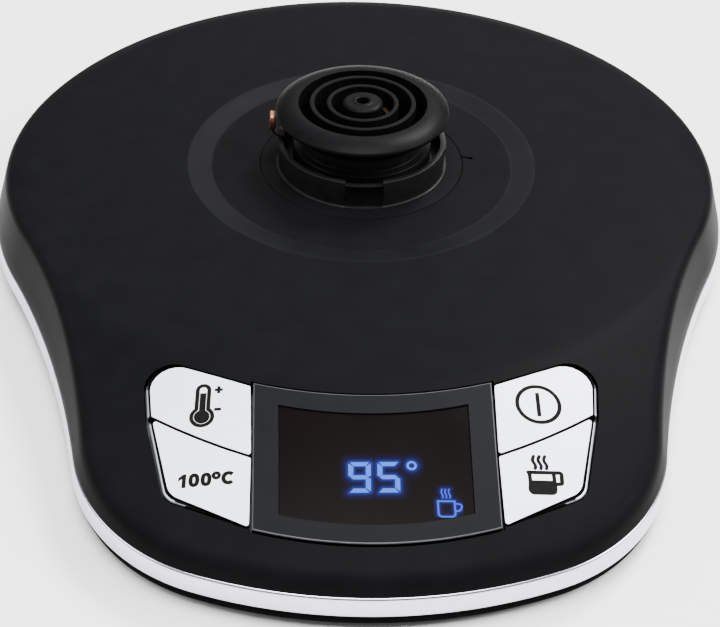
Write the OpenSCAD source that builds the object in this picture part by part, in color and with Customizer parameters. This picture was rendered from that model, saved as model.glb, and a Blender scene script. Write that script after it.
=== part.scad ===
// Power base of a cordless electric kettle: a round standing disc with a round connector
// in its middle, and a front lobe that slopes down under a display and four keys.
// +Z is up, -Y is the front. The origin is the middle of the footprint, on the table.

/* [Footprint] */
// Radius of the disc at the lower edge of the cover
disc_r = 89.6; // [84:0.2:96]
// Radius of the shoulder where the disc turns towards the front lobe
shoulder_r = 77; // [72:0.5:82]
// Hollow radius of the waist
waist_r = 228; // [180:1:300]
// Radius of the lobe's front corners
corner_r = 38.6; // [34:0.2:42]
// Heading of the outline where the disc ends, in degrees short of square to the side
disc_end = 22; // [18:0.5:26]
// Heading where the shoulder turns into the waist
waist_in = 29; // [26:0.5:31]
// Heading where the waist turns into the corner
waist_out = 14; // [12:0.5:17]
// Heading where the corner turns into the front
corner_out = 71; // [66:0.5:74]

/* [Heights] */
// Height of the feet under the tray
foot_h = 1.4; // [1:0.1:3]
// Height of the tray's visible rim
rim_h = 3.1; // [2.5:0.1:5]
// Height of the bright band
band_h = 4.2; // [3:0.1:6]
// Height of the cover from the band to its flat top
cover_h = 11.8; // [11:0.1:16]

/* [Cover] */
// Wall of the cover
wall = 2; // [1.6:0.1:2.4]
// Lean of the side wall, in degrees from upright
draft = 19.1; // [14:0.1:22]
// Radius at which the flat top bends down into the apron
bend_r = 80.5; // [77:0.5:83]
// Slope of the apron, in degrees
slope = 12; // [9:0.5:13]
// Radius of the soft bend between the top and the apron
bend_soft = 26; // [10:1:40]
// Outer radius of the shallow dish round the connector
dish_r = 41.5; // [38:0.5:46]
// Width of the dish's ramp
dish_ramp = 5.2; // [3:0.1:6]
// Depth of the dish
dish_depth = 1.2; // [0.8:0.1:1.5]

/* [Connector] */
// Radius of the cap
cap_r = 20.4; // [19.5:0.1:21]
// Height of the cap's top over the flat top of the cover
cap_top = 14.9; // [13.5:0.1:17]
// Thickness of the cap
cap_t = 3.4; // [2.8:0.1:4]
// Outer and inner radius of the outer groove in the cap
groove_outer = [15, 12.5]; // [12:0.1:16]
// Outer and inner radius of the middle groove
groove_middle = [11.3, 8.5]; // [8:0.1:12]
// Outer and inner radius of the inner groove
groove_inner = [7.3, 4.75]; // [4:0.05:8]
// Radius of the hole in the middle of the cap
hub_hole_r = 1.7; // [1.4:0.1:2.2]
// Depth of the grooves
groove_depth = 5; // [4:0.1:5.4]
// Outer radius of the collar round the neck
collar_r = 20.2; // [19.6:0.1:21]
// Wall of the collar
collar_wall = 1.4; // [1:0.1:1.8]
// Height of the collar over the dish floor
collar_h = 6.7; // [5:0.1:7.5]
// Radius of the step inside the collar
step_r = 16.5; // [16:0.1:17.4]
// Radius of the neck under the cap
neck_r = 14.5; // [13.8:0.1:15]
// Radius of the head's stem inside the neck
stem_r = 11; // [11:0.1:12]
// Radius of the connector's flange, flush in the dish
flange_r = 24.4; // [23.5:0.1:26]

/* [Panel] */
// Distance of the panel's middle in front of the connector
panel_reach = 96; // [95:0.5:97]
// Radius of the arc along the back edge of the panel, about the connector
panel_arc_r = 82.2; // [81.5:0.1:82.6]
// Width of the display frame at its back and at its front
frame_w = [45.7, 44.2]; // [43:0.1:47]
// Length of the display frame along its middle, seen from above
frame_l = 30.4; // [29.8:0.1:31]
// Bow of the frame's front edge
frame_bow = 3.1; // [2:0.1:4]
// Width of the frame beside the window, at its back and at its front
frame_side = [4.95, 4.7]; // [4:0.05:6]
// Width of the frame behind the window and in front of it, in the middle
frame_end = [3.9, 4.1]; // [3:0.1:5]
// Bow of the window's edges
window_bow = 2.1; // [1.5:0.1:2.6]
// Gap between the display frame and the keys
key_gap = 0.45; // [0.3:0.05:0.7]
// Gap between the panel's pieces and the cover
panel_gap = 0.25; // [0.2:0.05:0.4]
// Height of the keys and the frame over the cover
proud = 0.35; // [0.2:0.05:0.5]
// Travel of a pressed key
key_travel = 0.8; // [0.5:0.1:0.8]
// Width of the bright rim round a key's plate
key_rim = 0.9; // [0.7:0.1:1.2]
// Thickness of a key's plate
plate_t = 0.55; // [0.4:0.05:0.8]

/* [Cord inlet] */
// Radius of the bush's bore, for the cord
inlet_r = 3.4; // [3:0.1:3.6]
// Wall of the bush
inlet_wall = 1.1; // [0.8:0.1:1.3]

/* [Hidden] */
$fn = 64;

// Running fit round a shaft, and clearance between pieces that are only set together
fit = 0.05;
seat_gap = 0.1;

// Heights of the seams, from the table up
z_tray = foot_h;
z_band = z_tray + rim_h;
z_cover = z_band + band_h;
z_top = z_cover + cover_h;
z_dish = z_top - dish_depth;
floor_t = 2;
z_floor = z_tray + floor_t;

// The bright band stands out a little more at its foot than at its top
band_flare = 0.85;
band_lip = 0.1;
rim_lip = 0.15;
band_t = 1.5;
tongue_t = 1.4;
tongue_in = band_t + seat_gap + tongue_t;

// Outline in plan: five arcs that run into one another, from the back round to the front
function outward(h) = [cos(h), -sin(h)];
shoulder_c = (disc_r - shoulder_r) * outward(-disc_end);
waist_c = shoulder_c + (shoulder_r + waist_r) * outward(waist_in);
corner_c = waist_c - (waist_r + corner_r) * outward(waist_out);
front_r = corner_r + corner_c.x / cos(corner_out);
front_c = corner_c - (front_r - corner_r) * outward(corner_out);
front_reach = front_r - front_c.y;
function arc(c, r, h0, h1, n) = [for (i = [0:n - 1]) c + r * outward(h0 + (h1 - h0) * i / n)];
function right_side(d) = concat(
    arc([0, 0], disc_r + d, -90, -disc_end, 14),
    arc(shoulder_c, shoulder_r + d, -disc_end, waist_in, 10),
    arc(waist_c, d - waist_r, waist_in, waist_out, 4),
    arc(corner_c, corner_r + d, waist_out, corner_out, 9),
    arc(front_c, front_r + d, corner_out, 90, 4)
);
function outline(d) = let (p = right_side(d), n = len(p))
    concat(p, [[0, -front_reach - d]], [for (i = [n - 1:-1:1]) [-p[i].x, p[i].y]]);

// The footprint is centred on the origin, between the bush at the back and the band in front
bush_proud = 1;
back_reach = disc_r + band_flare + bush_proud;
seat_y = (front_reach + band_flare - back_reach) / 2;
module seated() translate([0, seat_y, 0]) children();

// A solid between two outlines, d0 outside the lower edge at z0 and d1 outside it at z1
module tapered(d0, d1, z0, z1) {
    a = outline(d0);
    b = outline(d1);
    n = len(a);
    polyhedron(
        points = concat([for (p = a) [p.x, p.y, z0]], [for (p = b) [p.x, p.y, z1]]),
        faces = concat([[for (i = [n - 1:-1:0]) i], [for (i = [0:n - 1]) n + i]],
            [for (i = [0:n - 1]) [i, (i + 1) % n, n + (i + 1) % n, n + i]]));
}
module upright(d, z0, z1) translate([0, 0, z0]) linear_extrude(z1 - z0) polygon(outline(d));

// Height of the cover's surface, h above it, as a profile turned round the connector
apron_end = 140;
function apron_z(r) = z_top - (r - bend_r) * tan(slope);
bend_run = bend_soft * tan(slope / 2);
function bend_point(a, h) = [bend_r - bend_run + bend_soft * sin(a), z_top + h - bend_soft * (1 - cos(a))];
function skin_profile(h) = concat(
    [[0, 0], [apron_end, 0], [apron_end, apron_z(apron_end) + h]],
    [for (i = [4:-1:0]) bend_point(slope * i / 4, h)], [[0, z_top + h]]);
module skin(h) rotate_extrude($fn = 160) polygon(skin_profile(h));

// The panel's frame lies along the apron, with its own Z square to it
panel_z = apron_z(panel_reach);
module on_panel() translate([0, -panel_reach, panel_z]) rotate([slope, 0, 0]) children();
function flat(p) = [p.x, (p.y + panel_reach) / cos(slope)];

// Corners rounded to the radii in r, and an outline grown by d on every side
function unit(v) = v / norm(v);
function rounded(p, r) = let (n = len(p)) [for (i = [0:n - 1])
    let (a = unit(p[(i + n - 1) % n] - p[i]), b = unit(p[(i + 1) % n] - p[i]),
         half = acos(a * b) / 2, c = p[i] + unit(a + b) * r[i] / sin(half),
         s = p[i] + a * r[i] / tan(half) - c, e = p[i] + b * r[i] / tan(half) - c)
    each [for (k = [0:6]) c + r[i] * unit(s * (6 - k) + e * k)]];
function grown(p, d) = let (n = len(p)) [for (i = [0:n - 1])
    let (a = unit(p[(i + n - 1) % n] - p[i]), b = unit(p[(i + 1) % n] - p[i]),
         out = unit([a.y, -a.x] + [-b.y, b.x]), lean = out * [a.y, -a.x])
    p[i] + out * d / lean];

// Display frame and window in plan, clockwise from the back left corner
frame_reach = panel_arc_r + frame_l;
function bowed(x0, x1, y, bow) = let (w = max(abs(x0), abs(x1)))
    [for (i = [0:8]) let (x = x0 + (x1 - x0) * i / 8) [x, y + bow * (x / w) * (x / w)]];
frame_back_bow = panel_arc_r - sqrt(panel_arc_r * panel_arc_r - frame_w[0] * frame_w[0] / 4);
frame_plan = concat(bowed(-frame_w[0] / 2, frame_w[0] / 2, -panel_arc_r, frame_back_bow),
    bowed(frame_w[1] / 2, -frame_w[1] / 2, -frame_reach, frame_bow));
window_w = frame_w - 2 * frame_side;
window_reach = [panel_arc_r + frame_end[0], frame_reach - frame_end[1]];
window_plan = concat(bowed(-window_w[0] / 2, window_w[0] / 2, -window_reach[0], window_bow),
    bowed(window_w[1] / 2, -window_w[1] / 2, -window_reach[1], window_bow));
function panel_outline(plan) = [for (p = plan) flat(p)];

// Keys in plan, on the right side, clockwise from their inner back corner
key_x = [frame_w[0] / 2 + key_gap, frame_w[1] / 2 + key_gap];
division = 0.5;
upper_key = [[key_x[0], -78.9], [key_x[0] + 20.2, -70.85], [key_x[0] + 18.3, -85.2], [key_x[0] - 0.6, -94.7]];
lower_key = [[key_x[0] - 0.6, -94.7 - division], [key_x[0] + 18.1, -85.2 - division * 1.3],
    [key_x[1] + 15.15, -102.2], [key_x[1], -109.1]];
upper_round = [0.6, 4.9, 0.5, 0.5];
lower_round = [0.5, 0.5, 4, 0.5];
function sided(plan, side) = side > 0 ? plan
    : [for (i = [len(plan) - 1:-1:0]) [-plan[i].x, plan[i].y]];
function key_outline(plan, r, side, d) =
    let (p = [for (q = sided(plan, side)) flat(q)], n = len(r),
         rr = side > 0 ? r : [for (i = [n - 1:-1:0]) r[i]])
    rounded(grown(p, d), [for (x = rr) max(0.2, x + d)]);

// Levels below the panel's surface, square to it
key_under = -3.6;
play = 0.1;
window_face = -1;
window_t = 1.4;
z_module = window_face - window_t;
carrier_top = -5.2;
carrier_t = 1;
z_board = -7.7;
board_t = 1.2;
switch_top = key_under - 1.5;
switch_base_h = 2;
panel_deep = -9;
panel_high = 6;
module prism(p, z0, z1) translate([0, 0, z0]) linear_extrude(z1 - z0) polygon(p);

// Screw places round the shell, under the panel, and in the connector
shell_screws = [[30, 70], [75, 8], [50, -66]];
module both_sides(places) for (p = places) for (s = [1, -1]) translate([s * p.x, p.y, 0]) children();
shell_screw_r = 1.4;
shell_head_r = 2.7;
boss_r = 3.2;
z_joint = z_cover - 0.5;
panel_screw_places = [[key_x[0] + 23.2, -85], [key_x[0] + 21, -98], [12, -77]];
panel_screw_r = 1;
panel_boss_r = 2.3;
connector_screw_ring = 17;
connector_screw_r = 1.1;
connector_boss_r = 2.8;
module round_connector() for (a = [0:120:240]) rotate(a) translate([connector_screw_ring, 0, 0]) children();

// Connector levels
z_cap = z_top + cap_top;
z_under_cap = z_cap - cap_t;
z_skirt = z_under_cap - 3;
z_collar = z_dish + collar_h;
z_step = z_collar - 0.7;
z_channel = z_dish + 1.7;
flange_t = 1.2;
ledge_t = 1.2;
z_ledge = z_dish - flange_t - ledge_t;
ledge_r = flange_r - 1.8;
cup_r = 27;
cup_wall = 1.6;
z_cup = z_tray + 6.6;
cup_floor = 1.6;
z_screw_seat = z_cup + cup_floor + 2.4;
notch_w = 8.6;
notch_in = 0.6;

// Cord inlet
inlet_z = z_cover + 1;
bush_r = inlet_r + inlet_wall;
bush_lip = 0.9;
bush_inner_y = disc_r - tongue_in - 1.6;
bush_flange_t = 3;
clamp_y = bush_inner_y - bush_flange_t - 8;
clamp_screw_x = 9.5;
clamp_end = 3.2;
saddle_half = 5.4;
saddle_w = 4;
z_clamp = inlet_z + inlet_r - 0.1;
module clamp_places() both_sides([[clamp_screw_x, clamp_y]]) children();

module shell_outer() intersection() {
    tapered(0, -(z_top - z_cover + 1) * tan(draft), z_cover, z_top + 1);
    skin(0);
}
module shell_inner() intersection() {
    tapered(-wall / cos(draft) + tan(draft), -wall / cos(draft) - (z_top - z_cover) * tan(draft),
        z_cover - 1, z_top);
    difference() {
        skin(-wall);
        translate([0, 0, z_ledge]) cylinder(r = dish_r + 2, h = cover_h);
    }
}
module dish_cut() rotate_extrude($fn = 160) polygon([
    [0, z_dish], [dish_r - dish_ramp, z_dish], [dish_r, z_top], [dish_r, z_top + 2], [0, z_top + 2]]);
key_pair = [upper_key[0], upper_key[1], (upper_key[2] + lower_key[1]) / 2, lower_key[2], lower_key[3]];
pair_round = [upper_round[0], upper_round[1], 2, lower_round[2], lower_round[3]];
module panel_opening() on_panel() for (s = [1, -1])
    prism(key_outline(key_pair, pair_round, s, panel_gap), panel_deep, panel_high);
module frame_opening() on_panel() prism(grown(panel_outline(frame_plan), key_gap), panel_deep, panel_high);
module inlet_cut(r) translate([0, disc_r - 14, inlet_z]) rotate([-90, 0, 0]) cylinder(r = r, h = 20);

module top_cover() color("#26282a") seated() difference() {
    union() {
        difference() {
            shell_outer();
            shell_inner();
            dish_cut();
            cylinder(r = ledge_r, h = z_cap);
            translate([0, 0, z_dish - flange_t]) cylinder(r = flange_r + seat_gap, h = 5);
            panel_opening();
            frame_opening();
        }
        intersection() {
            shell_outer();
            union() {
                both_sides(shell_screws) translate([0, 0, z_joint]) cylinder(r = boss_r, h = cover_h);
                on_panel() both_sides([for (p = panel_screw_places) flat(p)])
                    translate([0, 0, carrier_top]) cylinder(r = panel_boss_r, h = 9);
            }
        }
    }
    both_sides(shell_screws) translate([0, 0, z_joint - 1])
        cylinder(r = shell_screw_r + fit, h = z_top - wall - z_joint);
    on_panel() both_sides([for (p = panel_screw_places) flat(p)])
        translate([0, 0, carrier_top - 1]) cylinder(r = panel_screw_r + fit, h = 1 + 2.4);
    inlet_cut(bush_r + fit);
}

module base_tray() color("#161718") seated() difference() {
    union() {
        difference() {
            tapered(rim_lip, band_flare, z_tray, z_band);
            upright(-tongue_in, z_floor, z_band + 1);
        }
        difference() {
            upright(-band_t - seat_gap, z_band - 1, z_cover - seat_gap);
            upright(-tongue_in, z_band - 2, z_cover);
        }
        both_sides(shell_screws) translate([0, 0, z_tray]) cylinder(r = boss_r + 1, h = z_joint - z_tray);
        for (p = power_screws) translate([p.x, p.y, z_floor]) cylinder(r = power_post_r, h = z_power - z_floor);
        clamp_places() translate([0, 0, z_floor]) cylinder(r = clamp_end, h = z_clamp - z_floor);
        translate([-saddle_half, clamp_y - saddle_w / 2, z_floor])
            cube([2 * saddle_half, saddle_w, inlet_z - inlet_r / 2 - z_floor]);
    }
    both_sides(shell_screws) {
        translate([0, 0, z_tray - 1]) cylinder(r = shell_head_r + 0.3, h = 1 + head_seat);
        cylinder(r = shell_screw_r + 0.2, h = z_cover);
    }
    both_sides(foot_places) translate([0, 0, z_tray - 1]) cylinder(r = foot_r + fit, h = 1 + foot_set);
    for (p = power_screws) translate([p.x, p.y, z_floor]) cylinder(r = small_screw_r + fit, h = z_cover);
    clamp_places() translate([0, 0, z_floor]) cylinder(r = clamp_screw_r + fit, h = z_clamp);
    inlet_cut(bush_r + fit);
    inlet_saddle();
}

module trim_band() color("#d4d4dc") seated() difference() {
    tapered(band_flare, band_lip, z_band, z_cover);
    upright(-band_t, z_band - 1, z_cover + 1);
    inlet_cut(bush_r + fit);
}

foot_r = 6;
foot_set = 0.6;
foot_edge = 0.8;
foot_places = [[55, 50], [36, -90]];
module rubber_feet() color("#303030") seated() both_sides(foot_places)
    rotate_extrude() polygon([[0, 0], [foot_r - foot_edge, 0], [foot_r, foot_edge], [foot_r, z_tray + foot_set],
        [0, z_tray + foot_set]]);

// A pan-head screw with its head below z, pointing up, and its cross recess
module screw(z, r, head_r, head_h, length) translate([0, 0, z]) difference() {
    union() {
        translate([0, 0, -head_h]) cylinder(r = head_r, h = head_h);
        cylinder(r = r, h = length);
    }
    for (a = [0, 90]) rotate(a) translate([-head_r * 0.6, -0.3, -head_h - 1]) cube([head_r * 1.2, 0.6, 1.7]);
}
head_seat = 3;
module housing_screws() color("#8d9094") seated() both_sides(shell_screws)
    screw(z_tray + head_seat, shell_screw_r, shell_head_r, 1.6, 9);

// The part of the connector that shows: flange, collar, step and neck
module connector_body() color("#1b1c1e") seated() difference() {
    union() {
        translate([0, 0, z_dish - flange_t]) cylinder(r = flange_r, h = flange_t, $fn = 96);
        translate([0, 0, z_ledge]) cylinder(r = ledge_r - seat_gap, h = ledge_t + 0.1);
        translate([0, 0, z_dish]) cylinder(r = collar_r, h = collar_h, $fn = 96);
        translate([0, 0, z_dish]) cylinder(r = neck_r, h = z_skirt - z_dish);
        round_connector() translate([0, 0, z_screw_seat])
            cylinder(r = connector_boss_r, h = z_dish - z_screw_seat - 0.2);
    }
    difference() {
        translate([0, 0, z_channel]) cylinder(r = collar_r - collar_wall, h = collar_h + 10);
        translate([0, 0, z_channel - 1]) cylinder(r = step_r, h = z_step - z_channel + 1);
        cylinder(r = neck_r, h = z_cap);
    }
    translate([0, 0, z_ledge - 1]) cylinder(r = stem_r + fit, h = z_cap);
    for (a = [-90, 0]) rotate(a) translate([collar_r, 0, 0]) {
        translate([-notch_in, -notch_w / 2, z_dish]) cube([2, notch_w, collar_h + 1]);
        translate([-collar_wall - 0.5, -notch_w / 2, z_collar - 0.9]) cube([3, notch_w, 2]);
    }
    round_connector() translate([0, 0, z_screw_seat - 1])
        cylinder(r = connector_screw_r + fit, h = 6);
    translate([earth_x - fit, -earth_w / 2 - fit, z_ledge - 1])
        cube([earth_t + 2 * fit, earth_w + 2 * fit, z_channel - z_ledge + 2]);
}

// Cap with its three ring grooves, skirt and stem, set down on the neck
module ring_groove(g) translate([0, 0, z_cap - groove_depth]) difference() {
    cylinder(r = g[0], h = groove_depth + 1);
    translate([0, 0, -1]) cylinder(r = g[1], h = groove_depth + 3);
}
blade_t = 1;
blade_w = 3;
inner_blade_r = (groove_inner[0] + groove_inner[1]) / 2;
middle_blade_r = (groove_middle[0] + groove_middle[1]) / 2;
module blade(r, a, d, z0, z1) rotate(a) translate([r - blade_t / 2 - d, -blade_w / 2 - d, z0])
    cube([blade_t + 2 * d, blade_w + 2 * d, z1 - z0]);
module connector_head() color("#202123") seated() difference() {
    union() {
        rotate_extrude($fn = 128) polygon([[0, z_cap], [groove_outer[0] + 0.2, z_cap],
            [cap_r - 2.6, z_cap - 0.15], [cap_r - 1.3, z_cap - 0.5], [cap_r - 0.5, z_cap - 1],
            [cap_r, z_cap - 1.8], [cap_r - 0.1, z_cap - 2.6], [cap_r - 0.8, z_under_cap], [0, z_under_cap]]);
        translate([0, 0, z_skirt]) cylinder(r = groove_outer[0] + 0.9, h = z_cap - z_skirt - 1);
        translate([0, 0, z_dish + 0.7]) cylinder(r = stem_r, h = z_skirt - z_dish);
    }
    ring_groove(groove_outer);
    ring_groove(groove_middle);
    ring_groove(groove_inner);
    translate([0, 0, z_cap - groove_depth]) cylinder(r = hub_hole_r, h = groove_depth + 1);
    cylinder(r = pin_r + fit, h = z_cap);
    blade(inner_blade_r, 20, fit, 0, z_cap - 1);
    blade(middle_blade_r, 100, fit, 0, z_cap - 1);
}

// Cup that clamps the connector to the cover from inside and carries the contacts
module connector_base() color("#3a3b3d") seated() difference() {
    union() {
        difference() {
            translate([0, 0, z_cup]) cylinder(r = cup_r, h = z_ledge - z_cup);
            translate([0, 0, z_cup + cup_floor]) cylinder(r = cup_r - cup_wall, h = z_ledge);
        }
        round_connector() translate([0, 0, z_cup])
            cylinder(r = connector_boss_r, h = z_screw_seat - z_cup);
    }
    round_connector() cylinder(r = connector_screw_r + 0.2, h = z_top);
    cylinder(r = pin_r + fit, h = z_top);
    blade(inner_blade_r, 20, fit, 0, z_top);
    blade(middle_blade_r, 100, fit, 0, z_top);
    translate([earth_x - fit, -earth_w / 2 - fit, 0]) cube([earth_t + 2 * fit, earth_w + 2 * fit, z_top]);
}
module connector_screws() color("#8d9094") seated() round_connector()
    screw(z_cup, connector_screw_r, 2, 1.2, 8.6);

// Contacts: each has a foot on the cup's floor and a tab below it
pin_r = 1.2;
z_tab = z_floor + 2.2;
z_contact = z_cap - 3.6;
z_foot = z_cup + cup_floor;
foot_t = 0.8;
module centre_contact() color("#c9a35a") seated() rotate_extrude() polygon([
    [0, z_tab], [pin_r, z_tab], [pin_r, z_foot], [2.4, z_foot], [2.4, z_foot + foot_t],
    [pin_r, z_foot + foot_t], [pin_r, z_contact - 0.6], [pin_r - 0.6, z_contact], [0, z_contact]]);
module contact_blade(r, a) union() {
    blade(r, a, 0, z_tab, z_contact);
    blade(r, a, 0.6, z_foot, z_foot + foot_t);
}
module inner_contact() color("#c9a35a") seated() contact_blade(inner_blade_r, 20);
module middle_contact() color("#c9a35a") seated() contact_blade(middle_blade_r, 100);

// Earth: a fixed strip from the tab up into the channel, and the leaf that the kettle presses in
earth_w = 3.4;
earth_t = 0.6;
earth_x = -18.5;
earth_travel = 0.5;
z_leaf = z_channel + 0.6;
module earth_terminal() color("#b06c4c") seated() union() {
    translate([earth_x, -earth_w / 2, z_tab]) cube([earth_t, earth_w, z_leaf - z_tab]);
    translate([earth_x - 1, -earth_w / 2, z_foot]) cube([earth_t + 2, earth_w, foot_t]);
}
module earth_contact() color("#b06c4c") seated() translate([0, earth_w / 2, 0]) rotate([90, 0, 0])
    linear_extrude(earth_w) polygon([
        [earth_x, z_leaf + play], [earth_x + earth_t, z_leaf + play], [earth_x + earth_t, z_collar + 0.4],
        [-cap_r - earth_travel - play, z_under_cap - 1.6], [-cap_r - earth_travel, z_under_cap + 0.4],
        [-cap_r - 1.1, z_under_cap + 0.6], [-cap_r - 1.2, z_under_cap - 1.8], [earth_x, z_collar]]);

// Display: frame, smoked window, module and the segments that light
module display_frame() color("#2d2e31") seated() difference() {
    intersection() {
        on_panel() prism(panel_outline(frame_plan), carrier_top, panel_high);
        skin(proud);
    }
    on_panel() {
        prism(panel_outline(window_plan), window_face - 0.1, panel_high);
        prism(grown(panel_outline(window_plan), window_lip), panel_deep, window_face);
    }
}
window_lip = 1;
module display_window() color("#15100f") seated() on_panel()
    prism(grown(panel_outline(window_plan), window_lip - seat_gap), z_module, window_face);
module display_module() color("#e6e4dc") seated() on_panel() difference() {
    prism(grown(panel_outline(window_plan), window_lip - 0.5), z_board, z_module);
    translate([0, 0, z_module - segment_t]) linear_extrude(1) lit_shapes();
}
module lit_segments() color("#7fb8ff") seated() on_panel()
    translate([0, 0, z_module - segment_t]) linear_extrude(segment_t) lit_shapes();

segment_t = 0.3;
segment_w = 0.75;
digit_size = [4.4, 6.4];
digit_gap = 1.3;
digits_y = 8.9 - window_reach[1];
// Segments of a digit: top, upper left, upper right, middle, lower left, lower right, bottom
digit_9 = [1, 1, 1, 1, 0, 1, 1];
digit_5 = [1, 1, 0, 1, 0, 1, 1];
module bar(a, b) polygon(let (n = unit([a.y - b.y, b.x - a.x]) * segment_w / 2) [a + n, b + n, b - n, a - n]);
module digit(on) {
    w = digit_size.x / 2 - segment_w / 2;
    h = digit_size.y / 2 - segment_w / 2;
    g = segment_w / 2 + 0.1;
    for (i = [0:2]) if (on[[0, 3, 6][i]]) bar([-w + g, h - i * h], [w - g, h - i * h]);
    for (i = [0:1]) for (s = [-1, 1]) if (on[s < 0 ? [1, 4][i] : [2, 5][i]])
        bar([s * w, h - g - i * h], [s * w, g - i * h]);
}
cup_place = [window_w[1] / 2 - 5.1, 2.7 - window_reach[1]];
cup_size = [3.6, 3.2];
module cup_shape() {
    difference() {
        square(cup_size, center = true);
        square(cup_size - [1, 1], center = true);
    }
    translate([cup_size.x / 2 + 0.1, -0.4]) square([0.9, 1.5]);
    for (i = [-1:1]) translate([i * 1.1 - 0.2, cup_size.y / 2 + 0.6]) square([0.4, 1.8]);
}
module lit_shapes() {
    for (s = [-1, 1]) translate(flat([s * (digit_size.x + digit_gap) / 2 - 0.4, digits_y]))
        digit(s < 0 ? digit_9 : digit_5);
    translate(flat([6.5, digits_y + 2.3])) difference() {
        circle(r = 1);
        circle(r = 0.5);
    }
    translate(flat(cup_place)) cup_shape();
}

// Control board, tilted with the panel, and what sits on it
board_end = key_x[0] + 26.7;
board_plan = [[-board_end, -79], [-17, -73.5], [17, -73.5], [board_end, -79],
    [board_end - 1.5, -99], [board_end - 20, -110], [20 - board_end, -110], [1.5 - board_end, -99]];
module panel_screw_holes(r) both_sides([for (p = panel_screw_places) flat(p)])
    translate([0, 0, panel_deep - 1]) cylinder(r = r, h = 16);
module control_board() color("#2f5d3a") seated() on_panel() difference() {
    prism(panel_outline(board_plan), z_board - board_t, z_board);
    panel_screw_holes(panel_screw_r + seat_gap);
}
chip_y = -77.5;
chip_size = [8, 8, 1.2];
module control_chip() color("#222222") seated() on_panel() translate(flat([0, chip_y]))
    translate([-chip_size.x / 2, -chip_size.y / 2, z_board]) cube(chip_size);
plug_y = -78;
plug_size = [12, 4.8, 3.4];
module board_plug() color("#e9e6dc") seated() on_panel() translate(flat([0, plug_y]))
    translate([-plug_size.x / 2, -plug_size.y / 2, z_board - board_t - plug_size.z]) cube(plug_size);

rocker_y = -84.5;
rocker_x = key_x[0] + 8.7;
rocker_reach = 4.6;
slide_switch = [[rocker_x, rocker_y], [key_x[1] + 7.95, -99.5]];
rocker_v = flat([0, rocker_y]).y;
switch_at = concat([for (s = [-1, 1]) [-rocker_x, rocker_v + s * rocker_reach]],
    [flat(slide_switch[0]), flat(slide_switch[1]), flat([-slide_switch[1].x, slide_switch[1].y])]);
switch_w = 4.4;
switch_stem_r = 1.1;
module tact_switches() color("#3c3c3c") seated() on_panel()
    for (p = switch_at) translate([p.x, p.y, z_board]) {
        translate([-switch_w / 2, -switch_w / 2, 0]) cube([switch_w, switch_w, switch_base_h]);
        cylinder(r = switch_stem_r, h = switch_top - z_board);
    }

// Guide posts of the keys that slide, on the right side
upper_posts = [[key_x[0] + 3.3, -83.6], [key_x[0] + 14.7, -80.6]];
lower_posts = [[key_x[1] + 3.05, -103.2], [key_x[1] + 13.65, -94.6]];
post_r = 1.1;
post_end = z_board + key_travel + 3 * play;
guide_top = key_under - key_travel - 2 * play;
guide_places = concat([for (p = upper_posts) flat(p)], [for (p = lower_posts) flat(p)],
    [for (p = lower_posts) flat([-p.x, p.y])]);
axle_r = 0.9;
axle_z = -4.6;
axle_half = 7.6;
ear_x = [4.4, 5.8];
ear_top = -3.9;
ear_w = 4;
module rocker_frame() translate([-rocker_x, rocker_v, 0]) children();

// Carrier between the keys and the board: guides, rocker bearings and spacers in one moulding
module key_carrier() color("#44464a") seated() on_panel() difference() {
    union() {
        prism(panel_outline(board_plan), carrier_top - carrier_t, carrier_top);
        both_sides([for (p = panel_screw_places) flat(p)]) translate([0, 0, z_board])
            cylinder(r = panel_boss_r, h = carrier_top - z_board);
        for (p = guide_places) translate([p.x, p.y, carrier_top - carrier_t])
            cylinder(r = post_r + 1, h = guide_top - carrier_top + carrier_t);
        rocker_frame() for (x = [-ear_x[1], ear_x[0]])
            translate([x, -ear_w / 2, carrier_top - carrier_t])
                cube([ear_x[1] - ear_x[0], ear_w, ear_top - carrier_top + carrier_t]);
    }
    prism(grown(panel_outline(window_plan), window_lip - 0.2), panel_deep, panel_high);
    for (p = switch_at) translate([p.x - switch_w / 2 - 0.4, p.y - switch_w / 2 - 0.4, panel_deep])
        cube([switch_w + 0.8, switch_w + 0.8, 9]);
    for (p = guide_places) translate([p.x, p.y, panel_deep]) cylinder(r = post_r + fit, h = 9);
    rocker_frame() translate([-axle_half - 1.5, 0, axle_z]) rotate([0, 90, 0])
        cylinder(r = axle_r + fit, h = 2 * axle_half + 3);
    panel_screw_holes(panel_screw_r + seat_gap);
}
module panel_screws() color("#8d9094") seated() on_panel() both_sides([for (p = panel_screw_places) flat(p)])
    screw(z_board - board_t, panel_screw_r, small_head.x, small_head.y, 5.6);

// A key: a body with a bright rim, and a plate let into its top
module key_body(plan, r, side) difference() {
    intersection() {
        on_panel() prism(key_outline(plan, r, side, 0), key_under, panel_high);
        skin(proud);
    }
    difference() {
        on_panel() prism(key_outline(plan, r, side, fit - key_rim), panel_deep, panel_high);
        skin(proud - plate_t);
    }
}
module key_plate(plan, r, side) difference() {
    intersection() {
        on_panel() prism(key_outline(plan, r, side, -key_rim), panel_deep, panel_high);
        skin(proud);
    }
    skin(proud - plate_t);
}
nub_r = 1.3;
module nub(p, z) translate([p.x, p.y, z]) cylinder(r = nub_r, h = key_under - z + 0.2);
nub_end = switch_top + key_travel + play;
rocker_nub = switch_top + 2 * play;
module sliding_key(plan, r, side, posts, press) {
    key_body(plan, r, side);
    on_panel() {
        nub(flat([side * press.x, press.y]), nub_end);
        for (p = posts) translate(concat(flat([side * p.x, p.y]), post_end))
            cylinder(r = post_r, h = key_under - post_end + 0.2);
    }
}
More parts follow.
